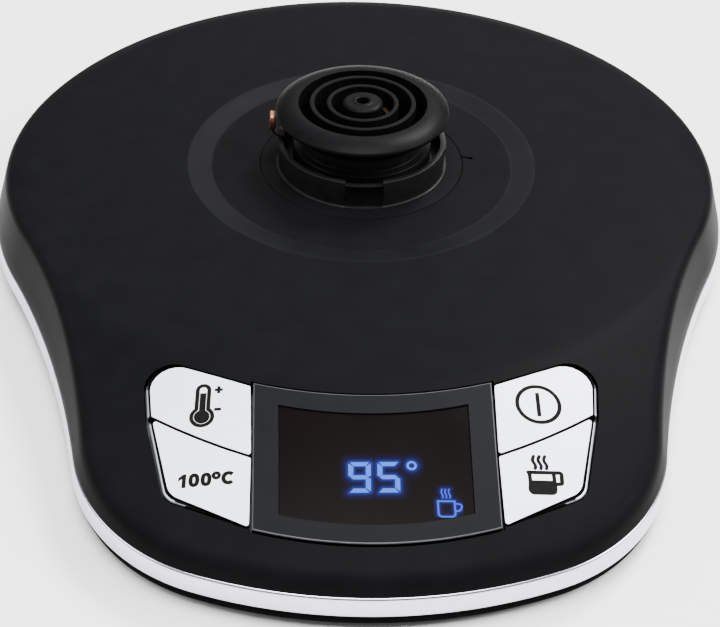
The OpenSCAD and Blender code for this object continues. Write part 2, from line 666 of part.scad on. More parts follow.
module temperature_key() color("#c9ccd2") seated() union() {
    key_body(upper_key, upper_round, -1);
    on_panel() {
        for (s = [-1, 1]) nub([-rocker_x, rocker_v + s * rocker_reach], rocker_nub);
        rocker_frame() {
            translate([-axle_half, 0, axle_z]) rotate([0, 90, 0]) cylinder(r = axle_r, h = 2 * axle_half);
            for (s = [-1, 1]) translate([s < 0 ? -axle_half : axle_half - 1.2, -1.4, axle_z])
                cube([1.2, 2.8, key_under - axle_z + 0.2]);
        }
    }
}
module boil_key() color("#c9ccd2") seated()
    sliding_key(lower_key, lower_round, -1, lower_posts, slide_switch[1]);
module power_key() color("#c9ccd2") seated()
    sliding_key(upper_key, upper_round, 1, upper_posts, slide_switch[0]);
module keep_warm_key() color("#c9ccd2") seated()
    sliding_key(lower_key, lower_round, 1, lower_posts, slide_switch[1]);
module temperature_plate() color("#eef1f7") seated() key_plate(upper_key, upper_round, -1);
module boil_plate() color("#eef1f7") seated() key_plate(lower_key, lower_round, -1);
module power_plate() color("#eef1f7") seated() key_plate(upper_key, upper_round, 1);
module keep_warm_plate() color("#eef1f7") seated() key_plate(lower_key, lower_round, 1);

// Power board on its posts, left of the connector
z_power = 7;
power_t = 1.6;
power_box = [[-69, -26], [-33, 30]];
power_screws = [[-36, 27.5], [-66.5, 27.5], [-36, -23.8], [-66.5, -23.8]];
small_screw_r = 1;
small_head = [1.8, 1];
power_post_r = 2.6;
module power_board() color("#2f5d3a") seated() difference() {
    translate([power_box[0].x, power_box[0].y, z_power]) cube(concat(power_box[1] - power_box[0], power_t));
    for (p = power_screws) translate([p.x, p.y, 0]) cylinder(r = small_screw_r + seat_gap, h = z_top);
}
// A screw driven from above, with its head on z
module screw_down(z, r, head_r, head_h, length) translate([0, 0, z]) rotate([180, 0, 0])
    screw(0, r, head_r, head_h, length);
module power_board_screws() color("#8d9094") seated() for (p = power_screws) translate([p.x, p.y, 0])
    screw_down(z_power + power_t, small_screw_r, small_head.x, small_head.y, 4.2);
// Components stand on the board: lower left corner, size
module component(p, size) seated() translate([p.x, p.y, z_power + power_t]) cube(size);
relay_size = [12, 28, 9];
transformer_size = [17, 20, 7.8];
capacitor_size = [7, 15, 9];
module relay() color("#2b4f86") component([-66, -21], relay_size);
module transformer() color("#d9b13b") component([-52, -21], transformer_size);
module capacitor() color("#c7b23a") component([-65, 9], capacitor_size);
buzzer_r = 5.6;
buzzer_h = 5;
buzzer_hole_r = 1;
module buzzer() color("#1d1d1d") seated() translate([-46, 14, z_power + power_t]) difference() {
    cylinder(r = buzzer_r, h = buzzer_h);
    translate([0, 0, buzzer_h - 2]) cylinder(r = buzzer_hole_r, h = buzzer_h);
}

// Where the cord would come in: bush, clamp and terminal block
module inlet_bush() color("#1a1a1a") seated() translate([0, 0, inlet_z]) rotate([-90, 0, 0])
    rotate_extrude() polygon([[inlet_r, bush_inner_y - bush_flange_t],
        [bush_r + bush_lip, bush_inner_y - bush_flange_t],
        [bush_r + bush_lip, bush_inner_y], [bush_r, bush_inner_y], [bush_r, disc_r + band_flare],
        [bush_r + bush_lip, disc_r + band_flare], [bush_r + bush_lip, back_reach - 0.3],
        [bush_r + bush_lip - 0.3, back_reach], [inlet_r, back_reach]]);
clamp_screw_r = 1.3;
clamp_t = 2.6;
module cord_clamp() color("#4a4c50") seated() difference() {
    translate([-clamp_screw_x - clamp_end, clamp_y - clamp_end, z_clamp])
        cube([2 * (clamp_screw_x + clamp_end), 2 * clamp_end, clamp_t]);
    inlet_saddle();
    clamp_places() cylinder(r = clamp_screw_r + seat_gap, h = z_top);
}
module inlet_saddle() translate([0, clamp_y - 10, inlet_z]) rotate([-90, 0, 0])
    cylinder(r = inlet_r + 2 * seat_gap, h = 20);
module clamp_screws() color("#8d9094") seated() clamp_places()
    screw_down(z_clamp + clamp_t, clamp_screw_r, 2.3, 1.4, 6.4);
block_at = [4, clamp_y - 24];
block_size = [20, 11, 10];
block_pitch = 6.4;
way_x = [for (i = [-1:1]) block_at.x + block_size.x / 2 + i * block_pitch];
way_r = 1.5;
way_screw_r = 1.6;
module block_ways() for (x = way_x) translate([x, 0, 0]) children();
module terminal_block() color("#e4e2da") seated() difference() {
    translate([block_at.x, block_at.y, z_floor]) cube(block_size);
    block_ways() {
        translate([0, block_at.y - 1, z_wire]) rotate([-90, 0, 0]) cylinder(r = way_r, h = block_size.y + 2);
        translate([0, block_at.y + block_size.y / 2, z_wire + 1]) cylinder(r = way_screw_r + seat_gap, h = 12);
    }
}
module terminal_screws() color("#b9b48a") seated() block_ways()
    translate([0, block_at.y + block_size.y / 2, z_wire + 1.6]) difference() {
        cylinder(r = way_screw_r, h = 4);
        translate([-1.2, -0.25, 3.3]) cube([2.4, 0.5, 1]);
    }

// Wires swept along their routes
z_wire = z_floor + 3.2;
wire_r = 1.1;
harness_r = 1.5;
wire_sides = 8;
function along(p, i) = unit(p[min(i + 1, len(p) - 1)] - p[max(i - 1, 0)]);
module wire(p, r) {
    n = len(p);
    rings = [for (i = [0:n - 1]) let (d = along(p, i), s = unit(cross(d, [0, 0, 1])), u = cross(s, d))
        each [for (k = [0:wire_sides - 1]) let (a = 360 * k / wire_sides) p[i] + r * (s * cos(a) + u * sin(a))]];
    polyhedron(points = rings, faces = concat(
        [[for (k = [0:wire_sides - 1]) k]], [[for (k = [wire_sides - 1:-1:0]) (n - 1) * wire_sides + k]],
        [for (i = [0:n - 2]) for (k = [0:wire_sides - 1])
            [i * wire_sides + k, (i + 1) * wire_sides + k,
             (i + 1) * wire_sides + (k + 1) % wire_sides, i * wire_sides + (k + 1) % wire_sides]]));
}
wire_in = block_at.y + 3;
z_lead = z_tab + wire_r + 0.3;
module line_wire() color("#7a4a2a") seated() wire([[way_x[0], wire_in, z_wire], [way_x[0], 44, z_wire],
    [3, 38, z_wire], [-6, 34, 6], [-16, 30, 5.6], [-26, 24, 5.2], [-38, 18.5, 5], [-47, 13, 5], [-52, 8, 5.2],
    [-53, 4, z_power - wire_r]], wire_r);
module neutral_wire() color("#3a6ea8") seated() wire([[way_x[1], wire_in, z_wire], [way_x[1], 44, z_wire],
    [13, 36, 6], [9, 28, 5.6], [4, 20, 5.4], [0, 14, z_lead - 1], [-1.2, 11.6, z_lead - 0.6]], wire_r);
module earth_wire() color("#4f9a3c") seated() wire([[way_x[2], wire_in, z_wire], [way_x[2], 44, z_wire],
    [22, 36, 6], [22, 24, 5.2], [20, 8, 5], [12, -10, 5], [0, -16, 5], [-10, -12, 5.2],
    [-15, -4, z_lead - 1], [-16.6, -1, z_lead - 0.6]], wire_r);
module control_harness() color("#d8d8d8") seated() wire([[-50, -24.2, z_power - 1.8], [-50, -34, 5.4],
    [-46, -44, 5.2], [-38, -54, 5.2], [-26, -62, 5.6], [-14, -68, 6.2], [-7, -72.4, 7], [-3, -74.9, 7.5]], harness_r);

top_cover();
base_tray();
trim_band();
rubber_feet();
housing_screws();
connector_body();
connector_head();
connector_base();
connector_screws();
centre_contact();
inner_contact();
middle_contact();
earth_contact();
earth_terminal();
display_frame();
display_window();
display_module();
lit_segments();
control_board();
control_chip();
tact_switches();
key_carrier();
panel_screws();
board_plug();
temperature_key();
boil_key();
power_key();
keep_warm_key();
temperature_plate();
boil_plate();
power_plate();
keep_warm_plate();
power_board();
power_board_screws();
relay();
transformer();
capacitor();
buzzer();
terminal_block();
terminal_screws();
cord_clamp();
clamp_screws();
inlet_bush();
line_wire();
neutral_wire();
earth_wire();
control_harness();
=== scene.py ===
from math import asin, atan2, cos, degrees, exp, hypot, pi, radians, sin, sqrt, tan

import bmesh
import bpy
from mathutils import Matrix, Vector

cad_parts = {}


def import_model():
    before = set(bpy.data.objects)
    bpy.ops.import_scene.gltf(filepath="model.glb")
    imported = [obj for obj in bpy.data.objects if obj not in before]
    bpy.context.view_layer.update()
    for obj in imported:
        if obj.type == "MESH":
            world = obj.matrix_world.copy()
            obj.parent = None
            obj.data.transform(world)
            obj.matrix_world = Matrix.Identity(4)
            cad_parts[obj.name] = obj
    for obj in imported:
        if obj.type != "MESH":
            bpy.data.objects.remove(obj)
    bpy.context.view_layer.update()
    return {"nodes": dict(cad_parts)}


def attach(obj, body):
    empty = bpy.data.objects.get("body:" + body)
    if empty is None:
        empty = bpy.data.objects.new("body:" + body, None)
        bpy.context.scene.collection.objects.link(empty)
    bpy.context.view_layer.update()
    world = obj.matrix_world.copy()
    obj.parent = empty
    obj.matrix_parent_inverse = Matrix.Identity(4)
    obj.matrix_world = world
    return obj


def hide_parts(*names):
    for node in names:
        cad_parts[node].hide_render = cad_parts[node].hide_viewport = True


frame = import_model()
NODES = frame["nodes"]

# Sizes in millimetres about the connector's axis, which stands SEAT behind the middle of the footprint
SEAT = 14.979
# Heights, then the lean of the wall, where top and apron meet, the apron's slope and the radius of its bend
Z_TRAY, Z_BAND, Z_COVER, Z_TOP, Z_DISH = 1.4, 4.5, 8.7, 20.5, 19.3
DRAFT, BEND_R, SLOPE, BEND_SOFT = 19.1, 80.5, 12.0, 26.0
DISH_R, DISH_RAMP, FLANGE_R = 41.5, 5.2, 24.4
# Distances from the dish's edge at which its ramp has points, closer where it bends
DISH_STEPS = (0.7, 0.35, 0, -0.3, -0.6, -1.8, -3.4, -4.6, -4.9, -5.2, -5.5, -5.8)
TOP_FLAT = 77.8
INLET_Z, BUSH_R = 9.7, 4.5


def world(p):
    """A point in millimetres about the connector's axis, as one of the frame in metres."""
    return Vector((p[0] / 1000, (p[1] + SEAT) / 1000, p[2] / 1000))


def added(name, data):
    """A new object with this data, linked into the scene."""
    obj = bpy.data.objects.new(name, data)
    bpy.context.scene.collection.objects.link(obj)
    return obj


# ---------- camera
CAMERA_AT, CAMERA_TURN, LENS = (-10.14, -244.36, 178.49), (2.54, 40.40, 1.59), 59.63


def add_camera():
    """A camera in front of the base, turned by its yaw, its pitch downward and its roll, in degrees."""
    yaw, pitch, roll = (radians(a) for a in CAMERA_TURN)
    ahead = Vector((sin(yaw) * cos(pitch), cos(yaw) * cos(pitch), -sin(pitch)))
    right = Vector((cos(yaw), -sin(yaw), 0))
    up = right.cross(ahead)
    x = right * cos(roll) + up * sin(roll)
    y = up * cos(roll) - right * sin(roll)
    cam = added("camera", bpy.data.cameras.new("camera"))
    m = Matrix((x, y, -ahead)).transposed().to_4x4()
    m.translation = world(CAMERA_AT)
    cam.matrix_world = m
    cam.data.lens, cam.data.sensor_width = LENS, 36
    cam.data.clip_start = 0.01
    bpy.context.scene.camera = cam


add_camera()


# ---------- materials
BUMP_DEPTH, COAT_ROUGH = 0.00005, 0.05


def material(name, color, rough, metal=0.0, vary=0.15, grain=900.0, bump=0.0, bump_grain=None, spec=0.5,
             coat=0.0, rough_vary=0.06, emit=None, emit_power=0.0, stretch=None):
    """Procedural plastic, metal or rubber: noise drives its colour, its roughness and a fine bump."""
    mat = bpy.data.materials.new(name)
    mat.use_nodes = True
    mat.diffuse_color = (*color, 1)
    nt = mat.node_tree
    n, link = nt.nodes, nt.links.new
    s = n["Principled BSDF"]
    s.inputs["Metallic"].default_value = metal
    s.inputs["Specular IOR Level"].default_value = spec
    s.inputs["Coat Weight"].default_value = coat
    s.inputs["Coat Roughness"].default_value = COAT_ROUGH
    where = n.new("ShaderNodeTexCoord").outputs["Object"]
    if stretch:
        m = n.new("ShaderNodeMapping")
        m.inputs["Scale"].default_value = stretch
        link(where, m.inputs["Vector"])
        where = m.outputs["Vector"]
    noise = n.new("ShaderNodeTexNoise")
    noise.inputs["Scale"].default_value = grain
    noise.inputs["Detail"].default_value = 5
    link(where, noise.inputs["Vector"])
    ramp = n.new("ShaderNodeValToRGB")
    ramp.color_ramp.elements[0].position, ramp.color_ramp.elements[1].position = 0.35, 0.65
    ramp.color_ramp.elements[0].color = (*[c * (1 - vary) for c in color], 1)
    ramp.color_ramp.elements[1].color = (*[min(1.0, c * (1 + vary)) for c in color], 1)
    link(noise.outputs["Fac"], ramp.inputs["Fac"])
    link(ramp.outputs["Color"], s.inputs["Base Color"])
    span = n.new("ShaderNodeMapRange")
    span.inputs["To Min"].default_value = max(0.02, rough - rough_vary)
    span.inputs["To Max"].default_value = min(1.0, rough + rough_vary)
    link(noise.outputs["Fac"], span.inputs["Value"])
    link(span.outputs["Result"], s.inputs["Roughness"])
    if bump:
        fine = n.new("ShaderNodeTexNoise")
        fine.inputs["Scale"].default_value = bump_grain or grain * 3
        fine.inputs["Detail"].default_value = 3
        link(where, fine.inputs["Vector"])
        b = n.new("ShaderNodeBump")
        b.inputs["Strength"].default_value = bump
        b.inputs["Distance"].default_value = BUMP_DEPTH
        link(fine.outputs["Fac"], b.inputs["Height"])
        link(b.outputs["Normal"], s.inputs["Normal"])
    if emit:
        s.inputs["Emission Color"].default_value = (*emit, 1)
        s.inputs["Emission Strength"].default_value = emit_power
    return mat


M = {
    "cover": material("soft_touch_black", (0.0043, 0.0044, 0.0048), 0.44, vary=0.08, grain=140, bump=0.2,
                      bump_grain=4200, spec=0.011, rough_vary=0.03),
    # painted light: a lighter, glossier copy of the cover's black on the dish's sloping ramp, for the light
    # that slope catches
    "ramp": material("ramp_black_painted_light", (0.0050, 0.0051, 0.0057), 0.40, vary=0.08, grain=140, bump=0.1,
                     bump_grain=4200, spec=0.03, rough_vary=0.03),
    "tray": material("tray_black", (0.0018, 0.0018, 0.0019), 0.7, grain=400, bump=0.3,
                     bump_grain=2500, spec=0.005),
    "band": material("bright_band", (0.72, 0.72, 0.80), 0.24, metal=1.0, vary=0.03, grain=300,
                     rough_vary=0.03),
    "connector": material("connector_black", (0.0032, 0.0033, 0.0036), 0.38, vary=0.12, grain=500,
                          bump=0.12, bump_grain=3500, spec=0.03),
    # painted light: a lighter copy of the connector's black for the collar, standing in for the light that
    # falls on its sides
    "collar": material("collar_black_painted_light", (0.0085, 0.0088, 0.0092), 0.40, vary=0.12, grain=500, bump=0.12,
                       bump_grain=3500, spec=0.10),
    # painted shade: near-black for the shaded bottoms of the connector's grooves and for the fine marks in
    # the dish's floor
    "deep": material("well_painted_shade", (0.0008, 0.0008, 0.0009), 0.8, grain=700, spec=0.0),
    "glass": material("smoked_glass", (0.0024, 0.0014, 0.0013), 0.26, vary=0.12, grain=60, spec=0.03,
                      rough_vary=0.02),
    "copper": material("earth_copper", (0.46, 0.20, 0.115), 0.32, metal=1.0, vary=0.2,
                       stretch=(1, 1, 4)),
    # painted shade: copper darkened far below its own colour for the earth leaf, which sits in shade under
    # the cap
    "copper_painted_shade": material("copper_darkened_for_shade", (0.030, 0.014, 0.009), 0.5, metal=1.0, vary=0.2),
    "frame": material("frame_plastic", (0.0070, 0.0072, 0.0082), 0.45, vary=0.06, grain=260, bump=0.08,
                      bump_grain=3000, spec=0.025),
    # painted highlight: a lighter grey on the frame's rounded edge, for the thin lines of light it catches
    "frame_edge_painted_highlight": material("frame_edge_painted_highlight", (0.050, 0.051, 0.056), 0.35, grain=500, spec=0.3),
    "key": material("key_silver", (0.62, 0.64, 0.70), 0.30, metal=0.85, vary=0.05, grain=700,
                    rough_vary=0.05),
    "plate": material("plate_silver", (0.86, 0.89, 0.98), 0.42, metal=0.15, vary=0.035, grain=2600,
                      bump=0.18, bump_grain=5000),
    "ink": material("printed_mark", (0.0050, 0.0048, 0.0045), 0.6, spec=0.03),
    # painted shade: near-black on the silver keys' side walls and on the rims' edges away from the outer
    # side, for the shaded gaps round them
    "key_painted_shade": material("key_painted_shade", (0.004, 0.004, 0.0045), 0.7, spec=0.01),
    "rubber": material("foot_rubber", (0.016, 0.016, 0.016), 0.85, grain=600, bump=0.5, spec=0.2),
    "steel": material("zinc_steel", (0.52, 0.53, 0.55), 0.34, metal=1.0, vary=0.1, grain=1500, bump=0.15),
    # painted shade: brass darkened far below its own colour, for the contacts that sit in shade deep in the
    # connector's grooves
    "brass": material("contact_brass_painted_shade", (0.060, 0.044, 0.022), 0.5, metal=1.0, vary=0.25, grain=1200),
    "board": material("board_green", (0.02, 0.10, 0.045), 0.35, vary=0.3, grain=350, coat=0.3),
    "white": material("moulded_white", (0.72, 0.70, 0.64), 0.5, grain=500, bump=0.1),
    "black_part": material("component_black", (0.02, 0.02, 0.021), 0.4, grain=800, bump=0.1),
    "grey": material("moulded_grey", (0.07, 0.072, 0.078), 0.5, grain=500, bump=0.15),
    "relay": material("relay_blue", (0.03, 0.085, 0.26), 0.3, grain=400, coat=0.2),
    "tape": material("winding_tape", (0.62, 0.42, 0.06), 0.42, vary=0.2, grain=250,
                     stretch=(1, 1, 9)),
    "film": material("film_tan", (0.48, 0.36, 0.09), 0.28, grain=300, coat=0.3),
    "brown": material("wire_brown", (0.16, 0.07, 0.025), 0.45, bump=0.1),
    "blue": material("wire_blue", (0.03, 0.12, 0.36), 0.45, bump=0.1),
    "green": material("wire_green", (0.10, 0.34, 0.05), 0.45, bump=0.1),
    "ribbon": material("wire_grey", (0.38, 0.38, 0.39), 0.45, bump=0.1),
    "lit": material("lit_blue", (0.02, 0.06, 0.3), 0.5, vary=0.1, spec=0.1, emit=(0.03, 0.20, 1.0),
                    emit_power=0.62),
    "lit_cup": material("lit_blue_soft", (0.01, 0.03, 0.25), 0.5, vary=0.1, spec=0.1,
                        emit=(0.012, 0.07, 1.0), emit_power=0.55),
}


def glow_material():
    """The window's own smoked finish, with a deep blue light whose strength is stored on the surface."""
    mat = M["glass"].copy()
    mat.name = "window_glow"
    n, link = mat.node_tree.nodes, mat.node_tree.links.new
    s = n["Principled BSDF"]
    amount = n.new("ShaderNodeAttribute")
    amount.attribute_name = "glow"
    tint = n.new("ShaderNodeValToRGB")
    tint.color_ramp.elements[0].color = (0, 0, 0, 1)
    tint.color_ramp.elements[1].color = (0.045, 0.09, 0.75, 1)
    middle = tint.color_ramp.elements.new(0.45)
    middle.color = (0.008, 0.012, 0.16, 1)
    link(amount.outputs["Fac"], tint.inputs["Fac"])
    link(tint.outputs["Color"], s.inputs["Emission Color"])
    s.inputs["Emission Strength"].default_value = 0.5
    return mat


M["glow"] = glow_material()
CARRIED = {
    "housing_screws": "steel", "connector_base": "tray", "connector_screws": "steel",
    # the contacts get the darkened brass, painted shade deep in the grooves
    "centre_contact": "brass", "inner_contact": "brass", "middle_contact": "brass",
    "earth_terminal": "copper", "display_module": "white", "control_board": "board",
    "control_chip": "black_part", "tact_switches": "black_part", "key_carrier": "grey",
    "panel_screws": "steel", "board_plug": "white", "power_board": "board",
    "power_board_screws": "steel", "relay": "relay", "transformer": "tape", "capacitor": "film",
    "buzzer": "black_part", "terminal_block": "white", "terminal_screws": "brass", "cord_clamp": "grey",
    "clamp_screws": "steel", "line_wire": "brown", "neutral_wire": "blue", "earth_wire": "green",
    "control_harness": "ribbon",
}
for node, mat in CARRIED.items():
    slots = NODES[node].material_slots
    if not len(slots):
        NODES[node].data.materials.append(M[mat])
    for s in slots:
        s.material = M[mat]


# ---------- outline of the footprint
def outward(h):
    """A level direction, h degrees clockwise from +X."""
    return Vector((cos(radians(h)), -sin(radians(h))))


def footprint():
    """Points and outward normals of the cover's lower edge, all the way round, from five tangent arcs."""
    disc, shoulder, waist, corner = 89.6, 77.0, 228.0, 38.6
    ends = (-90, -22, 29, 14, 71, 90)
    cs = (disc - shoulder) * outward(ends[1])
    cw = cs + (shoulder + waist) * outward(ends[2])
    cc = cw - (waist + corner) * outward(ends[3])
    front = corner + cc.x / cos(radians(ends[4]))
    cf = cc - (front - corner) * outward(ends[4])
    arcs = [(Vector((0, 0)), disc, 88), (cs, shoulder, 58), (cw, -waist, 50), (cc, corner, 44),
            (cf, front, 26)]
    side = []
    for (c, r, n), a, b in zip(arcs, ends, ends[1:]):
        ways = [outward(a + (b - a) * i / n) for i in range(n)]
        side += [(c + r * way, way) for way in ways]
    mid = (cf + front * outward(90), outward(90))
    other = [(Vector((-p.x, p.y)), Vector((-n.x, n.y))) for p, n in side[:0:-1]]
    return side + [mid] + other


EDGE = footprint()


def skin_z(r):
    """Height of the cover's top at radius r: flat, then a soft bend, then the sloping apron."""
    run = BEND_SOFT * tan(radians(SLOPE / 2))
    r0, r1 = BEND_R - run, BEND_R - run + BEND_SOFT * sin(radians(SLOPE))
    if r <= r0:
        return Z_TOP
    if r < r1:
        return Z_TOP - BEND_SOFT * (1 - cos(asin((r - r0) / BEND_SOFT)))
    return Z_TOP - (r - BEND_R) * tan(radians(SLOPE))


def smooth(a, b, x):
    """A soft step from 0 at a to 1 at b."""
    t = min(1.0, max(0.0, (x - a) / (b - a)))
    return t * t * (3 - 2 * t)


def dish_z(r):
    """Height across the dish's ramp: straight, with a short soft bend at each end."""
    t, e = (r - DISH_R + DISH_RAMP) / DISH_RAMP, 0.11
    if t < e:
        t = max(0.0, t + e) ** 2 / (4 * e)
    elif t > 1 - e:
        t = 1 - max(0.0, 1 + e - t) ** 2 / (4 * e)
    return Z_DISH + (Z_TOP - Z_DISH) * t


# ---------- mesh helpers
CREASE = 32  # an edge with a larger angle, in degrees, is shaded sharp


def crease(obj, angle):
    """Smooth shading, with the edges over so many degrees sharp."""
    obj.data.shade_smooth()
    obj.data.set_sharp_from_angle(angle=radians(angle))


def piece(name, bm, mats, sharp=None):
    """An object from a bmesh, with its finishes and its normals outward; without sharp it stays faceted."""
    bmesh.ops.recalc_face_normals(bm, faces=bm.faces)
    me = bpy.data.meshes.new(name)
    bm.to_mesh(me)
    bm.free()
    for m in mats:
        me.materials.append(M[m])
    obj = added(name, me)
    if sharp:
        crease(obj, sharp)
    return obj


def build(name, verts, faces, mats, sharp=CREASE, place=world):
    """A piece from points, put in place by a function, and faces."""
    raw = bpy.data.meshes.new("raw")
    raw.from_pydata([place(v) for v in verts], [], faces)
    bm = bmesh.new()
    bm.from_mesh(raw)
    bpy.data.meshes.remove(raw)
    return piece(name, bm, mats, sharp)


BOX = [(0, 1, 3, 2), (4, 5, 7, 6), (0, 1, 5, 4), (2, 3, 7, 6), (0, 2, 6, 4), (1, 3, 7, 5)]


def box_points(low, high):
    """Corners of a box in the order that BOX takes them."""
    return [(x, y, z) for z in (low[2], high[2]) for y in (low[1], high[1]) for x in (low[0], high[0])]


def capped(n, first=0):
    """Faces of a prism whose upper n points follow its lower ones: both ends, then the sides."""
    sides = [(first + i, first + (i + 1) % n, first + n + (i + 1) % n, first + n + i) for i in range(n)]
    return [tuple(range(first, first + n))[::-1], tuple(range(first + n, first + 2 * n))] + sides


def circle(r, n):
    """n points round a circle."""
    return [(r * cos(2 * pi * i / n), r * sin(2 * pi * i / n)) for i in range(n)]


def curve(a, c, b, steps):
    """Points of the quadratic curve from a to b whose sides meet at c."""
    along = [k / steps for k in range(steps + 1)]
    return [a * (1 - t) ** 2 + c * 2 * t * (1 - t) + b * t * t for t in along]


def loops(rings, closed=False):
    """Quads between rings of equal length, each ring closed; closed joins the last ring to the first."""
    n = len(rings[0])
    verts = [v for r in rings for v in r]
    faces = []
    for k in range(len(rings) if closed else len(rings) - 1):
        a, b = k * n, (k + 1) % len(rings) * n
        faces += [(a + i, a + (i + 1) % n, b + (i + 1) % n, b + i) for i in range(n)]
    return verts, faces


def lathe(profile, n):
    """Turns a closed profile of (radius, height) about the connector's axis."""
    return loops([[(x, y, z) for x, y in circle(r, n)] for r, z in profile], closed=True)


CORNER_R = 0.05  # the radius of a profile's corner that has none of its own


def rounded_profile(points, steps=3):
    """A closed profile with each corner rounded; a point may carry its own radius as a third number."""
    out = []
    for i, p in enumerate(points):
        a, b = points[i - 1], points[(i + 1) % len(points)]
        r = p[2] if len(p) > 2 else CORNER_R
        u, v = Vector(a[:2]) - Vector(p[:2]), Vector(b[:2]) - Vector(p[:2])
        r = min(r, u.length * 0.45, v.length * 0.45)
        if r < 0.02:
            out.append(tuple(p[:2]))
            continue
        s, e, c = Vector(p[:2]) + u.normalized() * r, Vector(p[:2]) + v.normalized() * r, Vector(p[:2])
        out += [(q.x, q.y) for q in curve(s, c, e, steps)]
    return out


def subtract(obj, *cutters):
    """Cuts the cutters out of obj and drops them."""
    for c in cutters:
        m = obj.modifiers.new("cut", "BOOLEAN")
        m.operation, m.solver, m.object = "DIFFERENCE", "EXACT", c
    settle(obj)
    for c in cutters:
        bpy.data.objects.remove(c, do_unlink=True)
    return obj


def join(obj, other):
    """Adds other's solids to obj and drops it."""
    m = obj.modifiers.new("join", "BOOLEAN")
    m.operation, m.solver, m.object = "UNION", "EXACT", other
    settle(obj)
    bpy.data.objects.remove(other, do_unlink=True)
    return obj


def settle(obj, sharp=CREASE):
    """Turns what obj's modifiers make into its plain mesh."""
    deps = bpy.context.evaluated_depsgraph_get()
    me = bpy.data.meshes.new_from_object(obj.evaluated_get(deps))
    obj.modifiers.clear()
    obj.data = me
    crease(obj, sharp)
    return obj


def bevel_edges(obj, width, segments, over, sharp=CREASE):
    """Rounds the edges of obj whose angle is over so many degrees."""
    m = obj.modifiers.new("edges", "BEVEL")
    m.width, m.segments, m.limit_method, m.angle_limit = width / 1000, segments, "ANGLE", radians(over)
    settle(obj, sharp)


# ---------- panel outlines, in plan
PANEL_REACH, SHIFT = 96.0, 0.25
PANEL_Z = Z_TOP - (PANEL_REACH - BEND_R) * tan(radians(SLOPE))
CS, SN = cos(radians(SLOPE)), sin(radians(SLOPE))


def flat(p):
    """A point of the plan, as one across the panel."""
    return (p[0], (p[1] + PANEL_REACH - SHIFT) / CS)


def on_panel(p):
    """A point across the panel, at a level square to it."""
    u, v, w = p
    return world((u, -PANEL_REACH + v * CS - w * SN, PANEL_Z + v * SN + w * CS))


def lift(p):
    """A point across the panel, at a height over the cover's own surface."""
    u, v, h = p
    w = 0.0
    for _ in range(4):
        y = -PANEL_REACH + v * CS - w * SN
        w = (skin_z(hypot(u, y)) - PANEL_Z - v * SN) / CS
    return on_panel((u, v, w + h))


def corner(points, i):
    """Corner i of an outline, with the directions from it to the one before and the one after."""
    p, before, after = (Vector(points[k % len(points)]) for k in (i, i - 1, i + 1))
    return p, (before - p).normalized(), (after - p).normalized()


def rounded(points, radii, steps=10):
    """An outline with an arc of its own radius at each corner."""
    out = []
    for i, r in enumerate(radii):
        p, a, b = corner(points, i)
        half = a.angle(b) / 2
        c = p + (a + b).normalized() * r / sin(half)
        s = p + a * r / tan(half) - c
        e = p + b * r / tan(half) - c
        out += [tuple(c + r * (s * (steps - k) + e * k).normalized()) for k in range(steps + 1)]
    return out


def grown(points, d):
    """An outline moved outward by d on all sides."""
    out = []
    for i in range(len(points)):
        p, a, b = corner(points, i)
        na = Vector((a.y, -a.x))
        o = (na + Vector((-b.y, b.x))).normalized()
        out.append(tuple(p + o * d / o.dot(na)))
    return out


def bowed(x0, x1, y, bow, n=28):
    """A line across the panel from x0 to x1, whose ends lie bow further back than its middle at y."""
    w = max(abs(x0), abs(x1))
    return [(x0 + (x1 - x0) * i / n, y + bow * ((x0 + (x1 - x0) * i / n) / w) ** 2) for i in range(n + 1)]


FRAME_W, FRAME_REACH, FRAME_BOW, BACK_R = (45.7, 44.2), 112.6, 3.1, 82.2
WINDOW_W, WINDOW_REACH, WINDOW_BOW, KEY_GAP = (35.9, 34.8), (86.3, 109.0), 2.2, 0.45
BACK_BOW = BACK_R - sqrt(BACK_R ** 2 - FRAME_W[0] ** 2 / 4)
FRAME = [flat(p) for p in bowed(-FRAME_W[0] / 2, FRAME_W[0] / 2, -BACK_R, BACK_BOW)
         + bowed(FRAME_W[1] / 2, -FRAME_W[1] / 2, -FRAME_REACH, FRAME_BOW)]
WINDOW = [flat(p) for p in bowed(-WINDOW_W[0] / 2, WINDOW_W[0] / 2, -WINDOW_REACH[0], WINDOW_BOW)
          + bowed(WINDOW_W[1] / 2, -WINDOW_W[1] / 2, -WINDOW_REACH[1], WINDOW_BOW)]
KX = (FRAME_W[0] / 2 + KEY_GAP, FRAME_W[1] / 2 + KEY_GAP)
SAG = [(0.25, 0.42), (0.5, 0.55), (0.75, 0.42)]


def sagging(a, b):
    """The line between two keys, from a to b, hanging a little towards the front."""
    return [a] + [(a[0] + (b[0] - a[0]) * t, a[1] + (b[1] - a[1]) * t - d) for t, d in SAG] + [b]


# Corners of the right-hand keys and of the opening round both, in plan; the left-hand ones mirror them
KEY_LEAN = 0.6  # how much nearer the middle the line between two keys ends
UPPER = [(KX[0], -79.75), (43.65, -72.0)] + sagging((41.8, -85.55), (KX[0] - KEY_LEAN, -94.8))
LOWER = sagging((KX[0] - KEY_LEAN, -95.25), (41.65, -86.15)) + [(37.2, -102.2), (KX[1], -109.1)]
OPENING = [(KX[0], -79.35), (43.85, -71.3), (41.95, -85.8), LOWER[5], LOWER[6]]
SMALL, BIG, ALONG = 0.5, 4.9, 60
UPPER_ROUND = [0.6, BIG, SMALL, ALONG, ALONG, ALONG, SMALL]
LOWER_ROUND = [SMALL, ALONG, ALONG, ALONG, SMALL, 4, SMALL]
OPENING_ROUND = [0.6, BIG, 2, 4, SMALL]
# How far a key's silver side and the dark groove inside it stand out from its plate, and the gap round both
RIM, GROOVE, OPEN_GAP = 0.78, 0.36, 0.25
OUTER_X, FRONT_Y = 30, -100  # a corner past both is a key's outer front corner


